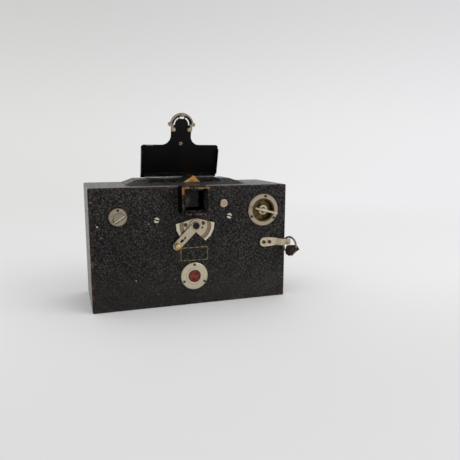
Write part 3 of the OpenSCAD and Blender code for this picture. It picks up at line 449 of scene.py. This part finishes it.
def lacquered(name, reach, worn, gloss=0.12, knuckles=False):
    """Black lacquer, chipped to bare metal in a strip of that reach along the edges; worn is its share."""
    material, tree, shader, place = paint(name)
    smear = patches(tree, place, 16 * mm, 0.35, 0.7, 4.0)
    flake = patches(tree, place, 2.4 * mm, 0.62 - 0.2 * worn, 0.66 - 0.2 * worn, 6.0, 0.75)
    x, y, z = split(tree, place)
    axis = add(tree, "CombineXYZ", {0: 0.0, 1: y, 2: z}).outputs[0]
    near = vector(tree, "DISTANCE", axis, (0, hinge_y, hinge_z)).outputs["Value"]
    chipped = times(tree, fade(tree, x, lid_left + 4 * mm, lid_left + 6 * mm),
                    fade(tree, x, lid_left + 13 * mm, lid_left + 10 * mm))
    chipped = most(tree, chipped, fade(tree, x, lid_left + 2.6 * mm, lid_left + 1.4 * mm))
    chipped = times(tree, chipped, fade(tree, near, lid_edge - 1.3 * mm, lid_edge - 0.6 * mm))
    chipped = times(tree, chipped, patches(tree, place, 1.6 * mm, 0.40, 0.52, 4.0, 0.7))
    rub = most(tree, times(tree, edge_rub(tree, reach), flake), chipped)
    if knuckles:
        along = add(tree, "CombineXYZ", {0: x}).outputs[0]
        streak = patches(tree, along, 9 * mm, 0.38, 0.60, 3.0)
        left = fade(tree, x, hinge_low[0] + 46 * mm, hinge_low[0] + 12 * mm)
        worn_here = times(tree, fade(tree, near, 1.7 * mm, 1.2 * mm), scaled(tree, left, 0.30, 1.0))
        rub = most(tree, rub, times(tree, worn_here, scaled(tree, streak, 0.55, 1.0)))
    coat(tree, shader, tint(tree, rub, lacquer, bare_sheet), scaled(tree, smear, 0.30, 0.46))
    tree.links.new(rub, shader.inputs["Metallic"])
    shader.inputs["Specular IOR Level"].default_value = gloss
    roughen(tree, shader, mottle(tree, place, 0.8 * mm, 3.0), 0.08, 0.05 * mm)
    return material


dress(lacquered("lid_lacquer", 0.6 * mm, 0.30), "lid_plate")
dress(lacquered("hinge_lacquer", 0.5 * mm, 0.4, 0.3, knuckles=True), "lid_leaf", "fixed_leaf")


# The fittings are nickel-plated: the screws, the catch, the sector and lever, the rings and the knobs.
# The plate has yellowed, with brown tarnish in blotches and fine scratches; its slots, notches and
# corners are darkened by grime and painted shade, and the sector also by a painted shadow under the lever.
plate_grey = (0.54, 0.465, 0.325)
plate_pale = (0.61, 0.565, 0.445)
plate_tan = (0.36, 0.29, 0.185)
plate_brown = (0.19, 0.135, 0.078)
plate_bright = (0.74, 0.70, 0.60)
plate_lug = (0.59, 0.51, 0.365)
plate_flange = (0.39, 0.325, 0.243)
plate_lever = (0.478, 0.402, 0.300)
plate_ring = (0.57, 0.510, 0.390)
plate_knob = (0.335, 0.280, 0.203)
plate_button = (0.480, 0.402, 0.318)
catch_tan = (0.38, 0.315, 0.235)
grime_and_shade = (0.020, 0.015, 0.011)
screw_brown = (0.085, 0.062, 0.042)
leaf_grey = (0.26, 0.25, 0.205)
ring_green = (0.25, 0.245, 0.185)
ring_dark = (0.10, 0.095, 0.07)
bronze_dark = (0.030, 0.021, 0.012)
scratch_turn, scratch_stretch = (0.4, 0.7, 0.3), (1.0, 14.0, 14.0)
notch_drop = 1.9 * mm
slot_depth = 0.3 * mm
# Where the painted highlight along the feed leaf's edge starts and is full, back from its end
lit_edge_from, lit_edge_full = 1.5 * mm, 0.9 * mm
# Bands round an axis, in millimetres from it: inner and outer reach, colour and strength
band_blur = 0.2
post_bands = ((1.6, 2.7, bronze_dark, 0.9),)
# The stud's dark ring: grime and painted shade
stud_bands = ((0.5, 1.1, grime_and_shade, 0.9),)
sector_bands = ((0.0, 10.9, plate_tan, 0.55), (10.9, 14.6, plate_brown, 0.9))
lever_bands = ((3.2, 4.6, plate_tan, 0.7),)
button_bands = ((0.0, 2.4, plate_tan, 0.8),)
# The knob's notch: grime and painted shade in it
notch_bands = ((0.0, 1.0, grime_and_shade, 1.0),)


def axis_of(name):
    """A point on the axis of a round piece that stands along Y."""
    low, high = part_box(name)
    return (low[0] + high[0]) / 2, 0.0, (low[2] + high[2]) / 2


def crevice(tree, reach, alone=True):
    """1 in a slot or corner narrower than that reach and 0 in the open; alone leaves out other pieces."""
    shelter = add(tree, "AmbientOcclusion", {"Distance": reach}, samples=8, only_local=alone)
    return fade(tree, shelter.outputs["AO"], 0.80, 0.35)


def plated(name, tone, tarnish, spread, roughness=0.36, bands=(), axis=(0, 0, 0), shine=plate_bright,
           slot_bottom=None, alone=True, lit_edge=None):
    """Worn plating: tone, with tarnish over a share of it given by spread, grime and painted shade in slots
    and corners, and shine on edges. The bands lie round an axis along Y. Grime and painted shade also cover
    all that lies deeper than slot_bottom, a place along Y. A lit edge is a direction and the piece's end in
    it;
    the strip before that gets a painted highlight."""
    material, tree, shader, place = paint(name)
    dull = patches(tree, place, 4.5 * mm, 0.70 - 0.4 * spread, 0.88 - 0.4 * spread, 6.0, 0.68)
    colour = tint(tree, dull, tone, tarnish)
    for inner, outer, band_tone, strength in bands:
        x, _, z = split(tree, shaken(tree, place, 3 * mm, 0.15 * mm))
        flat = add(tree, "CombineXYZ", {0: x, 2: z}).outputs[0]
        away = vector(tree, "DISTANCE", flat, axis).outputs["Value"]
        inside = times(tree, fade(tree, away, (inner - band_blur) * mm, (inner + band_blur) * mm),
                       fade(tree, away, (outer + band_blur) * mm, (outer - band_blur) * mm))
        colour = tint(tree, times(tree, inside, strength), colour, band_tone)
    specks = patches(tree, place, 0.9 * mm, 0.60, 0.68, 4.0, 0.7)
    colour = tint(tree, times(tree, specks, 0.55), colour, tarnish)
    colour = tint(tree, times(tree, edge_rub(tree, 0.25 * mm), 0.45), colour, shine)
    # Slots and corners darkened by grime and painted shade; with other pieces counted, also a painted shadow
    # under them
    colour = tint(tree, crevice(tree, 0.9 * mm, alone), colour, grime_and_shade)
    if slot_bottom is not None:
        # Below the slot's bottom: grime and painted shade
        depth = split(tree, place)[1]
        sunk = fade(tree, depth, slot_bottom - 0.05 * mm, slot_bottom + 0.02 * mm)
        colour = tint(tree, sunk, colour, grime_and_shade)
    # Painted highlight: a bright strip along the leaf's edge
    if lit_edge is not None:
        way, end = lit_edge
        reach = vector(tree, "DOT_PRODUCT", place, way).outputs["Value"]
        colour = tint(tree, fade(tree, reach, end - lit_edge_from, end - lit_edge_full), colour, plate_bright)
    lines = {"Vector": place, "Rotation": scratch_turn, "Scale": scratch_stretch}
    scratch = mottle(tree, add(tree, "Mapping", lines).outputs[0], 6 * mm, 4.0, 0.7)
    gloss = scaled(tree, scratch, roughness - 0.1, roughness + 0.1)
    coat(tree, shader, colour, plus(tree, gloss, times(tree, dull, 0.16)))
    shader.inputs["Metallic"].default_value = 1.0
    rounded = add(tree, "Bevel", {"Radius": 0.18 * mm}, samples=4).outputs["Normal"]
    roughen(tree, shader, scratch, 0.12, 0.06 * mm, rounded)
    return material


pivot_axis = axis_of("pivot_screw")
button_axis = axis_of("release_button")
key_axis = axis_of("key_flange")
stud_axis = axis_of("lid_stud")
knob_notch = (axis_of("feed_knob")[0], 0.0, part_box("feed_knob")[1][2] - notch_drop)
screw_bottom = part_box("panel_screws")[0][1] + slot_depth
leaf_way = (0.57, 0.0, -0.82)
leaf_end = float((points_of("feed_leaf") @ np.array(leaf_way)).max())
dress(plated("nickel", plate_lug, plate_tan, 0.45), "catch_rivets", "strap_lug")
dress(plated("nickel_flange", plate_flange, plate_tan, 0.45), "key_flange")
dress(plated("nickel_screw", plate_pale, plate_tan, 0.35, slot_bottom=screw_bottom), "panel_screws")
dress(plated("nickel_post", plate_grey, plate_tan, 0.5, 0.32, post_bands, key_axis), "key_post")
dress(plated("nickel_wing", plate_grey, plate_tan, 0.40, 0.30), "key_wing")
dress(plated("nickel_ring", ring_green, ring_dark, 0.45, 0.30), "strap_ring")
dress(plated("nickel_stud", plate_grey, plate_tan, 0.35, bands=stud_bands, axis=stud_axis), "lid_stud")
dress(plated("nickel_tan", catch_tan, plate_brown, 0.45), "lid_catch")
dress(plated("nickel_cream", plate_ring, plate_grey, 0.4, 0.44), "window_ring")
dress(plated("nickel_dull", plate_brown, screw_brown, 0.4, 0.44), "catch_plate")
# The sector counts the lever too, so it takes a painted shadow under the lever besides grime
dress(plated("nickel_sector", plate_pale, plate_grey, 0.4, bands=sector_bands, axis=pivot_axis, alone=False),
      "sector_plate")
dress(plated("nickel_lever", plate_lever, plate_flange, 0.4, bands=lever_bands, axis=pivot_axis),
      "swing_lever")
dress(plated("nickel_button", plate_button, plate_flange, 0.4, bands=button_bands, axis=button_axis),
      "release_button")
dress(plated("nickel_feed", plate_knob, plate_brown, 0.5, 0.42, notch_bands, knob_notch), "feed_knob")
dress(plated("nickel_leaf", leaf_grey, plate_brown, 0.35, 0.34, lit_edge=(leaf_way, leaf_end)),
      "feed_leaf")
dress(plated("screw_dark", screw_brown, plate_tan, 0.3, 0.4, shine=plate_tan), "window_screws",
      "flange_screws", "lug_screws", "sector_screws")


# The lever's knob, the bearings and the tripod bush are turned brass, gone dull, and the plate on the lens
# unit's front is lacquered brass. The winder's dish is brass browned by age.
brass_clean = (0.66, 0.44, 0.16)
brass_dull = (0.34, 0.20, 0.07)
brass_orange = (0.64, 0.315, 0.078)
brass_amber = (0.38, 0.16, 0.035)
bronze = (0.135, 0.095, 0.042)
dress(plated("brass", brass_clean, brass_dull, 0.45, 0.3), "lever_knob", "shaft_bushes", "tripod_bush")
dress(plated("lacquered_brass", brass_orange, brass_amber, 0.35, 0.34, shine=brass_clean), "lens_front")
dress(plated("dark_brass", bronze, bronze_dark, 0.6, 0.40, shine=bronze), "key_dish")


# The lens's housing is sheet brass, blackened all over but for its front end, which still has its lacquer
# and has worn pale at the left foot.
housing_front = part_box("lens_housing")[0][1]
brass_cream = (0.62, 0.52, 0.27)
foot_right = (4.4 * mm, 3.2 * mm)


def brass_fronted(name):
    """Blackened metal with a front end of lacquered brass, worn pale at its left foot."""
    material, tree, shader, place = paint(name)
    x, y, z = split(tree, place)
    front = fade(tree, y, housing_front + 1.0 * mm, housing_front + 0.6 * mm)
    stain = patches(tree, place, 3 * mm, 0.40, 0.66, 5.0, 0.65)
    foot = times(tree, fade(tree, z, block_high.z + 1.4 * mm, block_high.z + 0.5 * mm),
                 fade(tree, x, *foot_right))
    brass = tint(tree, foot, tint(tree, stain, brass_orange, brass_amber), brass_cream)
    colour = tint(tree, front, dusty_black(tree, place)[0], brass)
    coat(tree, shader, colour, scaled(tree, front, 0.52, 0.36))
    tree.links.new(front, shader.inputs["Metallic"])
    shader.inputs["Specular IOR Level"].default_value = 0.2
    roughen(tree, shader, mottle(tree, place, 0.5 * mm, 4.0), 0.15, 0.05 * mm)
    return material


dress(brass_fronted("housing_brass"), "lens_housing")


# The pivot screw is steel blued by heat, with brown where the blue has gone. The pins, axles and rollers
# are bright steel, stained in places.
blued_tone = (0.018, 0.019, 0.026)
blued_brown = (0.040, 0.028, 0.022)
steel_tone = (0.50, 0.50, 0.49)
steel_stain = (0.22, 0.18, 0.14)
dress(plated("blued_steel", blued_tone, blued_brown, 0.5, 0.3, shine=blued_brown), "pivot_screw")
dress(plated("steel", steel_tone, steel_stain, 0.35, 0.3), "back_pins", "roller_axles", "roller_left",
      "roller_right", "spool_pivots", "hinge_pin", "swing_shaft", "wing_pin", "leaf_pin")


# The lenses are polished glass, the finder has a ground screen above a silvered mirror, its dark grey
# tint a painted shade for the finder's dim inside, and the film counter's window is ruby glass, dusty
# inside.
lens_tone = (0.93, 0.95, 0.93)
shaded_screen_tone = (0.10, 0.09, 0.08)
film_share = 0.86
mirror_silver, mirror_stain = (0.62, 0.60, 0.56), (0.40, 0.36, 0.30)
ruby = (0.095, 0.007, 0.006)
ruby_dust = (0.24, 0.046, 0.032)
ruby_rim = (0.030, 0.004, 0.004)
rim_reach = (4.3 * mm, 5.6 * mm)
window_middle = tuple((low + high) / 2 for low, high in zip(*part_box("window_glass")))


def clear_glass(name, tone, roughness, bend=1.5):
    """Glass of that tone; a rough one is ground, and one with little bend shines less."""
    material, tree, shader, place = paint(name)
    film = mottle(tree, place, 6 * mm, 4.0)
    colour = tint(tree, film, tone, tuple(film_share * part for part in tone))
    coat(tree, shader, colour, scaled(tree, film, roughness, roughness + 0.06))
    shader.inputs["Transmission Weight"].default_value = 1.0
    shader.inputs["IOR"].default_value = bend
    return material


def ruby_glass(name):
    """Deep red glass over dark paper, with a film of dust that shows pinkish and a dark rim."""
    material, tree, shader, place = paint(name)
    dust = patches(tree, place, 2.6 * mm, 0.40, 0.62, 5.0, 0.65)
    colour = tint(tree, times(tree, dust, 0.8), ruby, ruby_dust)
    away = vector(tree, "DISTANCE", place, window_middle).outputs["Value"]
    colour = tint(tree, fade(tree, away, *rim_reach), colour, ruby_rim)
    coat(tree, shader, colour, scaled(tree, dust, 0.12, 0.37))
    shader.inputs["Specular IOR Level"].default_value = 0.22
    return material


dress(clear_glass("lens_glass", lens_tone, 0.0), "front_lens", "rear_lens", "finder_lens")
# The screen's dark grey tint is painted shade
dress(clear_glass("ground_glass", shaded_screen_tone, 0.10, 1.25), "finder_glass")
dress(ruby_glass("ruby_glass"), "window_glass")
dress(plated("mirror", mirror_silver, mirror_stain, 0.25, 0.14), "finder_mirror")


# The spools have cores of turned beech, with the grain along them. The label's border is a printed gilt
# line, rubbed thin in places.
wood_light = (0.30, 0.17, 0.075)
wood_dark = (0.13, 0.065, 0.026)
wood_stretch = (1.0, 0.06, 1.0)
gilt_line = (0.24, 0.175, 0.065)
gilt_worn = (0.040, 0.031, 0.016)


def turned_wood(name):
    """Beech with its grain along the spool: streaks stretched along Y."""
    material, tree, shader, place = paint(name)
    stretched = add(tree, "Mapping", {"Vector": place, "Scale": wood_stretch}).outputs[0]
    streak = patches(tree, stretched, 0.9 * mm, 0.3, 0.7, 4.0, 0.6)
    tree.links.new(tint(tree, streak, wood_light, wood_dark), shader.inputs["Base Color"])
    shader.inputs["Roughness"].default_value = 0.55
    roughen(tree, shader, streak, 0.2, 0.08 * mm)
    return material


def gilt(name):
    """Printed gilt, rubbed thin in places."""
    material, tree, shader, place = paint(name)
    thin = patches(tree, place, 1.5 * mm, 0.42, 0.62, 5.0, 0.7)
    tree.links.new(tint(tree, thin, gilt_line, gilt_worn), shader.inputs["Base Color"])
    shader.inputs["Metallic"].default_value = 0.5
    shader.inputs["Roughness"].default_value = 0.5
    return material


dress(turned_wood("spool_wood"), "feed_core", "takeup_core")
dress(gilt("gilt"), "label_frame")


# The end of a leather strap is folded over the ring's wire and torn off below it. It is brown leather
# blacked on the outside, in two layers of 1.4 mm that meet in the fold, made as one closed sheet.
ring_low, ring_high = (Vector(corner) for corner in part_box("strap_ring"))
ring_middle = (ring_low + ring_high) / 2
ring_turn = math.radians(68)
strap_black = (0.0150, 0.0115, 0.0098)
strap_brown = (0.135, 0.056, 0.030)
strap_rows, strap_columns = 36, 120
# Sizes in millimetres; corners from the ring's middle, along the ring and up
layer_middle, layer_half = 1.68, 0.70
fold_ends = np.array(((-3.0, -1.0), (7.4, 0.7)))
torn_edge = np.array(((-3.4, -8.4), (1.4, -10.4), (10.6, -2.6)))
torn_shares = np.array((0.0, 0.36, 1.0))
tear_wave, tear_way = 0.22, np.array((0.65, -0.76))
layer_wave = 0.10
# Shares: of the grid along it that lies in the fold, of the sheet that each rounded rim takes up, and of
# the thickness that is left at a rim
fold_share = 0.22
side_rim, end_rim = 0.06, 0.04
rim_thickness = 0.12


def rounding(share, inset):
    """Height of a rounded rim over a strip from 0 to 1: it rises as a quarter circle within the inset."""
    edge = np.clip(np.minimum(share, 1 - share) / inset, 0, 1)
    return np.sqrt(1 - (1 - edge) ** 2)


def strap_sheet(rows, columns):
    """Middle and normal of the folded sheet on a grid, and the share of full thickness at each place.
    Across it, s runs along the fold, F(s) = F0 + s (F1 - F0), and E(s) follows the torn edge. Along it, p
    runs down the front layer, round a half circle of the layers' own radius at the fold, and down the back
    layer: M(s, p) = F + d (E - F), set out by r sin(b), where b turns from -90 to 90 degrees in the fold."""
    across = (1 - np.cos(np.linspace(0, np.pi, rows))) / 2
    along = np.linspace(-1, 1, columns)
    s, p = np.meshgrid(across, along, indexing="ij")
    fold = fold_ends[0] + s[..., None] * (fold_ends[1] - fold_ends[0])
    torn = np.stack([np.interp(s, torn_shares, torn_edge[:, axis]) for axis in (0, 1)], axis=-1)
    torn = torn + tear_wave * np.sin(9 * s + 2 * p)[..., None] * tear_way
    length = np.linalg.norm(torn - fold, axis=-1)
    turned = layer_middle / length
    bend = np.clip(p / fold_share, -1, 1) * np.pi / 2
    run = np.clip((np.abs(p) - fold_share) / (1 - fold_share), 0, 1)
    down = turned * (1 - np.cos(bend)) + run * (1 - turned)
    out = layer_middle * np.sin(bend) + layer_wave * np.sin(5 * s + 1.3) * run * np.sign(p)
    flat = fold + down[..., None] * (torn - fold)
    middle = np.concatenate((flat, out[..., None]), axis=-1)
    way = (torn - fold) / length[..., None]
    lean = np.cos(bend)[..., None]
    normal = np.concatenate((-way * lean, np.sin(bend)[..., None]), axis=-1)
    thick = np.minimum(rounding(s, side_rim), rounding((p + 1) / 2, end_rim))
    return middle, normal, rim_thickness + (1 - rim_thickness) * thick


def sheet_faces(rows, columns):
    """Quads of an outer and an inner grid of the same size, joined round their rims."""
    row, column = np.meshgrid(np.arange(rows - 1), np.arange(columns - 1), indexing="ij")
    first = (row * columns + column).ravel()
    outer = np.stack((first, first + 1, first + columns + 1, first + columns), axis=-1)
    inner = outer[:, ::-1] + rows * columns
    index = np.arange(rows * columns).reshape(rows, columns)
    rim = np.concatenate((index[0, :-1], index[:-1, -1], index[-1, :0:-1], index[:0:-1, 0]))
    after = np.roll(rim, -1)
    wall = np.stack((rim, rim + rows * columns, after + rows * columns, after), axis=-1)
    return np.concatenate((outer, inner, wall))


def new_object(name, points, faces):
    """An object at the origin with a mesh of these points and faces."""
    mesh = bpy.data.meshes.new(name)
    mesh.from_pydata(points.tolist(), [], faces.tolist())
    made = bpy.data.objects.new(name, mesh)
    bpy.context.collection.objects.link(made)
    return made


def strap_leather(name):
    """Brown leather blacked outside, with the brown showing in patches and along the rims."""
    material, tree, shader, place = paint(name)
    rim = fade(tree, add(tree, "Attribute", attribute_name="rim").outputs["Fac"], 0.1, 0.6)
    grain = mottle(tree, place, 0.7 * mm, 5.0, 0.65)
    patch = patches(tree, place, 4 * mm, 0.46, 0.66, 5.0, 0.65)
    worn = most(tree, times(tree, rim, 0.35), times(tree, patch, 0.75))
    worn = times(tree, worn, scaled(tree, grain, 0.5, 1.2))
    coat(tree, shader, tint(tree, worn, strap_black, strap_brown), scaled(tree, grain, 0.42, 0.66))
    shader.inputs["Specular IOR Level"].default_value = 0.3
    roughen(tree, shader, grain, 0.5, 0.15 * mm)
    return material


strap_middle, strap_normal, strap_thick = strap_sheet(strap_rows, strap_columns)
strap_shift = layer_half * strap_thick[..., None] * strap_normal
strap_local = np.concatenate([(strap_middle + side * strap_shift).reshape(-1, 3) for side in (1, -1)]) * mm
ring_frame = np.array(((math.cos(ring_turn), -math.sin(ring_turn), 0), (0, 0, 1),
                       (-math.sin(ring_turn), -math.cos(ring_turn), 0)))
strap_points = strap_local @ ring_frame + np.array(ring_middle)
strap_end = new_object("strap_end", strap_points, sheet_faces(strap_rows, strap_columns))
strap_faces = strap_end.data.polygons
strap_faces.foreach_set("use_smooth", [True] * len(strap_faces))
strap_rim = strap_end.data.attributes.new("rim", "FLOAT", "POINT")
strap_rim.data.foreach_set("value", np.tile(1 - strap_thick.ravel(), 2))
strap_end.data.materials.append(strap_leather("strap_leather"))
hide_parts("strap_stub")
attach(strap_end, "strap")


# The stage is a pale floor that runs into a plain pale sky, lit softly from the upper right. The camera,
# metal and glass see the sky's own tone, and the rest is lit by a sky that is darker in front.
floor_radius = 14.0
ring_count, spoke_count = 24, 96
# The floor's tone, and a greyer one near the camera that is painted shade
floor_tone, shaded_floor_near = (0.91, 0.905, 0.908), (0.805, 0.803, 0.812)
floor_grey = (0.5, 0.5, 0.5)
floor_shade_depths = (-0.26, 0.0)
glow_reach = (0.22, 1.0)
sky_left, sky_right = (0.752, 0.747, 0.740), (0.848, 0.848, 0.862)
sky_span = (-0.15, 0.75)
sky_dim, dim_heights = 0.80, (0.0, 0.34)
light_front, light_back, light_top = (0.60, 0.60, 0.60), (0.74, 0.74, 0.74), (0.84, 0.84, 0.84)
light_depths, light_heights = (-0.6, 0.5), (0.0, 0.8)
key_place = Vector((0.80, -0.80, 0.80))
key_size, key_power = 1.0, 4.2


def disc_points(rings, spokes):
    """Points of the floor's disc: r(i) = R (i / (rings - 1))^3 at the angles a(j) = 2 pi j / spokes."""
    radius = floor_radius * np.linspace(0, 1, rings)[:, None] ** 3
    angle = np.linspace(0, 2 * np.pi, spokes, endpoint=False)[None, :]
    height = np.full((rings, spokes), case_low.z)
    return np.stack((radius * np.cos(angle), radius * np.sin(angle), height), axis=-1).reshape(-1, 3)


def disc_faces(rings, spokes):
    """Quads of a grid of points that closes on itself across its columns, facing up."""
    row, column = np.meshgrid(np.arange(rings - 1), np.arange(spokes), indexing="ij")
    after = (column + 1) % spokes
    inner, outer = row * spokes, (row + 1) * spokes
    corners = (inner + column, inner + after, outer + after, outer + column)
    return np.stack(corners, axis=-1).reshape(-1, 4)[:, ::-1]


def sky_across(tree, way):
    """The backdrop's tone in a direction: paler to the right."""
    return tint(tree, fade(tree, split(tree, way)[0], *sky_span), sky_left, sky_right)


def pale_floor(name):
    """A dull pale floor, greyer near the camera by painted shade, that glows in the sky's tone further out.
    """
    material, tree, shader, place = paint(name)
    colour = tint(tree, fade(tree, split(tree, place)[1], *floor_shade_depths), shaded_floor_near, floor_tone)
    cloud = scaled(tree, mottle(tree, place, 0.5, 2.0), 0.0, 0.06)
    tree.links.new(tint(tree, cloud, colour, floor_grey), shader.inputs["Base Color"])
    shader.inputs["Roughness"].default_value = 0.9
    shader.inputs["Specular IOR Level"].default_value = 0.1
    way = vector(tree, "NORMALIZE", place).outputs[0]
    glow = add(tree, "Emission", {"Color": sky_across(tree, way), "Strength": 1.0})
    far = fade(tree, vector(tree, "LENGTH", place).outputs["Value"], *glow_reach)
    mixed = add(tree, "MixShader", {0: far, 1: shader.outputs[0], 2: glow.outputs[0]})
    tree.links.new(mixed.outputs[0], tree.nodes["Material Output"].inputs["Surface"])
    return material


floor = new_object("floor", disc_points(ring_count, spoke_count), disc_faces(ring_count, spoke_count))
floor.data.materials.append(pale_floor("floor"))

world = bpy.data.worlds.new("pale_sky")
world.use_nodes = True
bpy.context.scene.world = world
sky = world.node_tree
sky_way = add(sky, "TexCoord").outputs["Generated"]
_, sky_depth, sky_height = split(sky, sky_way)
seen_tone = sky_across(sky, sky_way)
dimmed = add(sky, "VectorMath", {0: seen_tone, "Scale": sky_dim}, operation="SCALE").outputs[0]
seen_tone = tint(sky, fade(sky, sky_height, *dim_heights), seen_tone, dimmed)
light_tone = tint(sky, fade(sky, sky_depth, *light_depths), light_front, light_back)
light_tone = tint(sky, fade(sky, sky_height, *light_heights), light_tone, light_top)
ray = add(sky, "LightPath").outputs
seen = most(sky, ray["Is Camera Ray"], ray["Is Glossy Ray"])
seen = most(sky, seen, ray["Is Transmission Ray"])
sky.links.new(tint(sky, seen, light_tone, seen_tone), sky.nodes["Background"].inputs["Color"])
sky.nodes["Background"].inputs["Strength"].default_value = 1.0

key_lamp = bpy.data.lights.new("key_lamp", "AREA")
key_lamp.size = key_size
key_lamp.energy = key_power
key_light = bpy.data.objects.new("key_light", key_lamp)
key_light.location = key_place
key_light.rotation_euler = (case_mid - key_place).to_track_quat("-Z", "Y").to_euler()
bpy.context.collection.objects.link(key_light)


# The camera stands where the photograph was taken from: a little left of the case, looking slightly down.
# Its turns are in degrees, its sensor and lens in millimetres.
camera_place = (-0.107734, -0.444439, 0.140979)
camera_pitch, camera_turn, camera_roll = 80.29, -19.17, 0.233
camera_sensor, camera_lens = 36.0, 37.39
camera_data = bpy.data.cameras.new("camera")
camera_data.sensor_width = camera_sensor
camera_data.lens = camera_lens
camera = bpy.data.objects.new("camera", camera_data)
camera_turns = ((camera_turn, "Z"), (camera_pitch, "X"), (camera_roll, "Z"))
turned = [Matrix.Rotation(math.radians(angle), 3, axis) for angle, axis in camera_turns]
camera.location = camera_place
camera.rotation_euler = (turned[0] @ turned[1] @ turned[2]).to_euler()
bpy.context.collection.objects.link(camera)
bpy.context.scene.camera = camera
bpy.context.scene.view_settings.view_transform = "Standard"
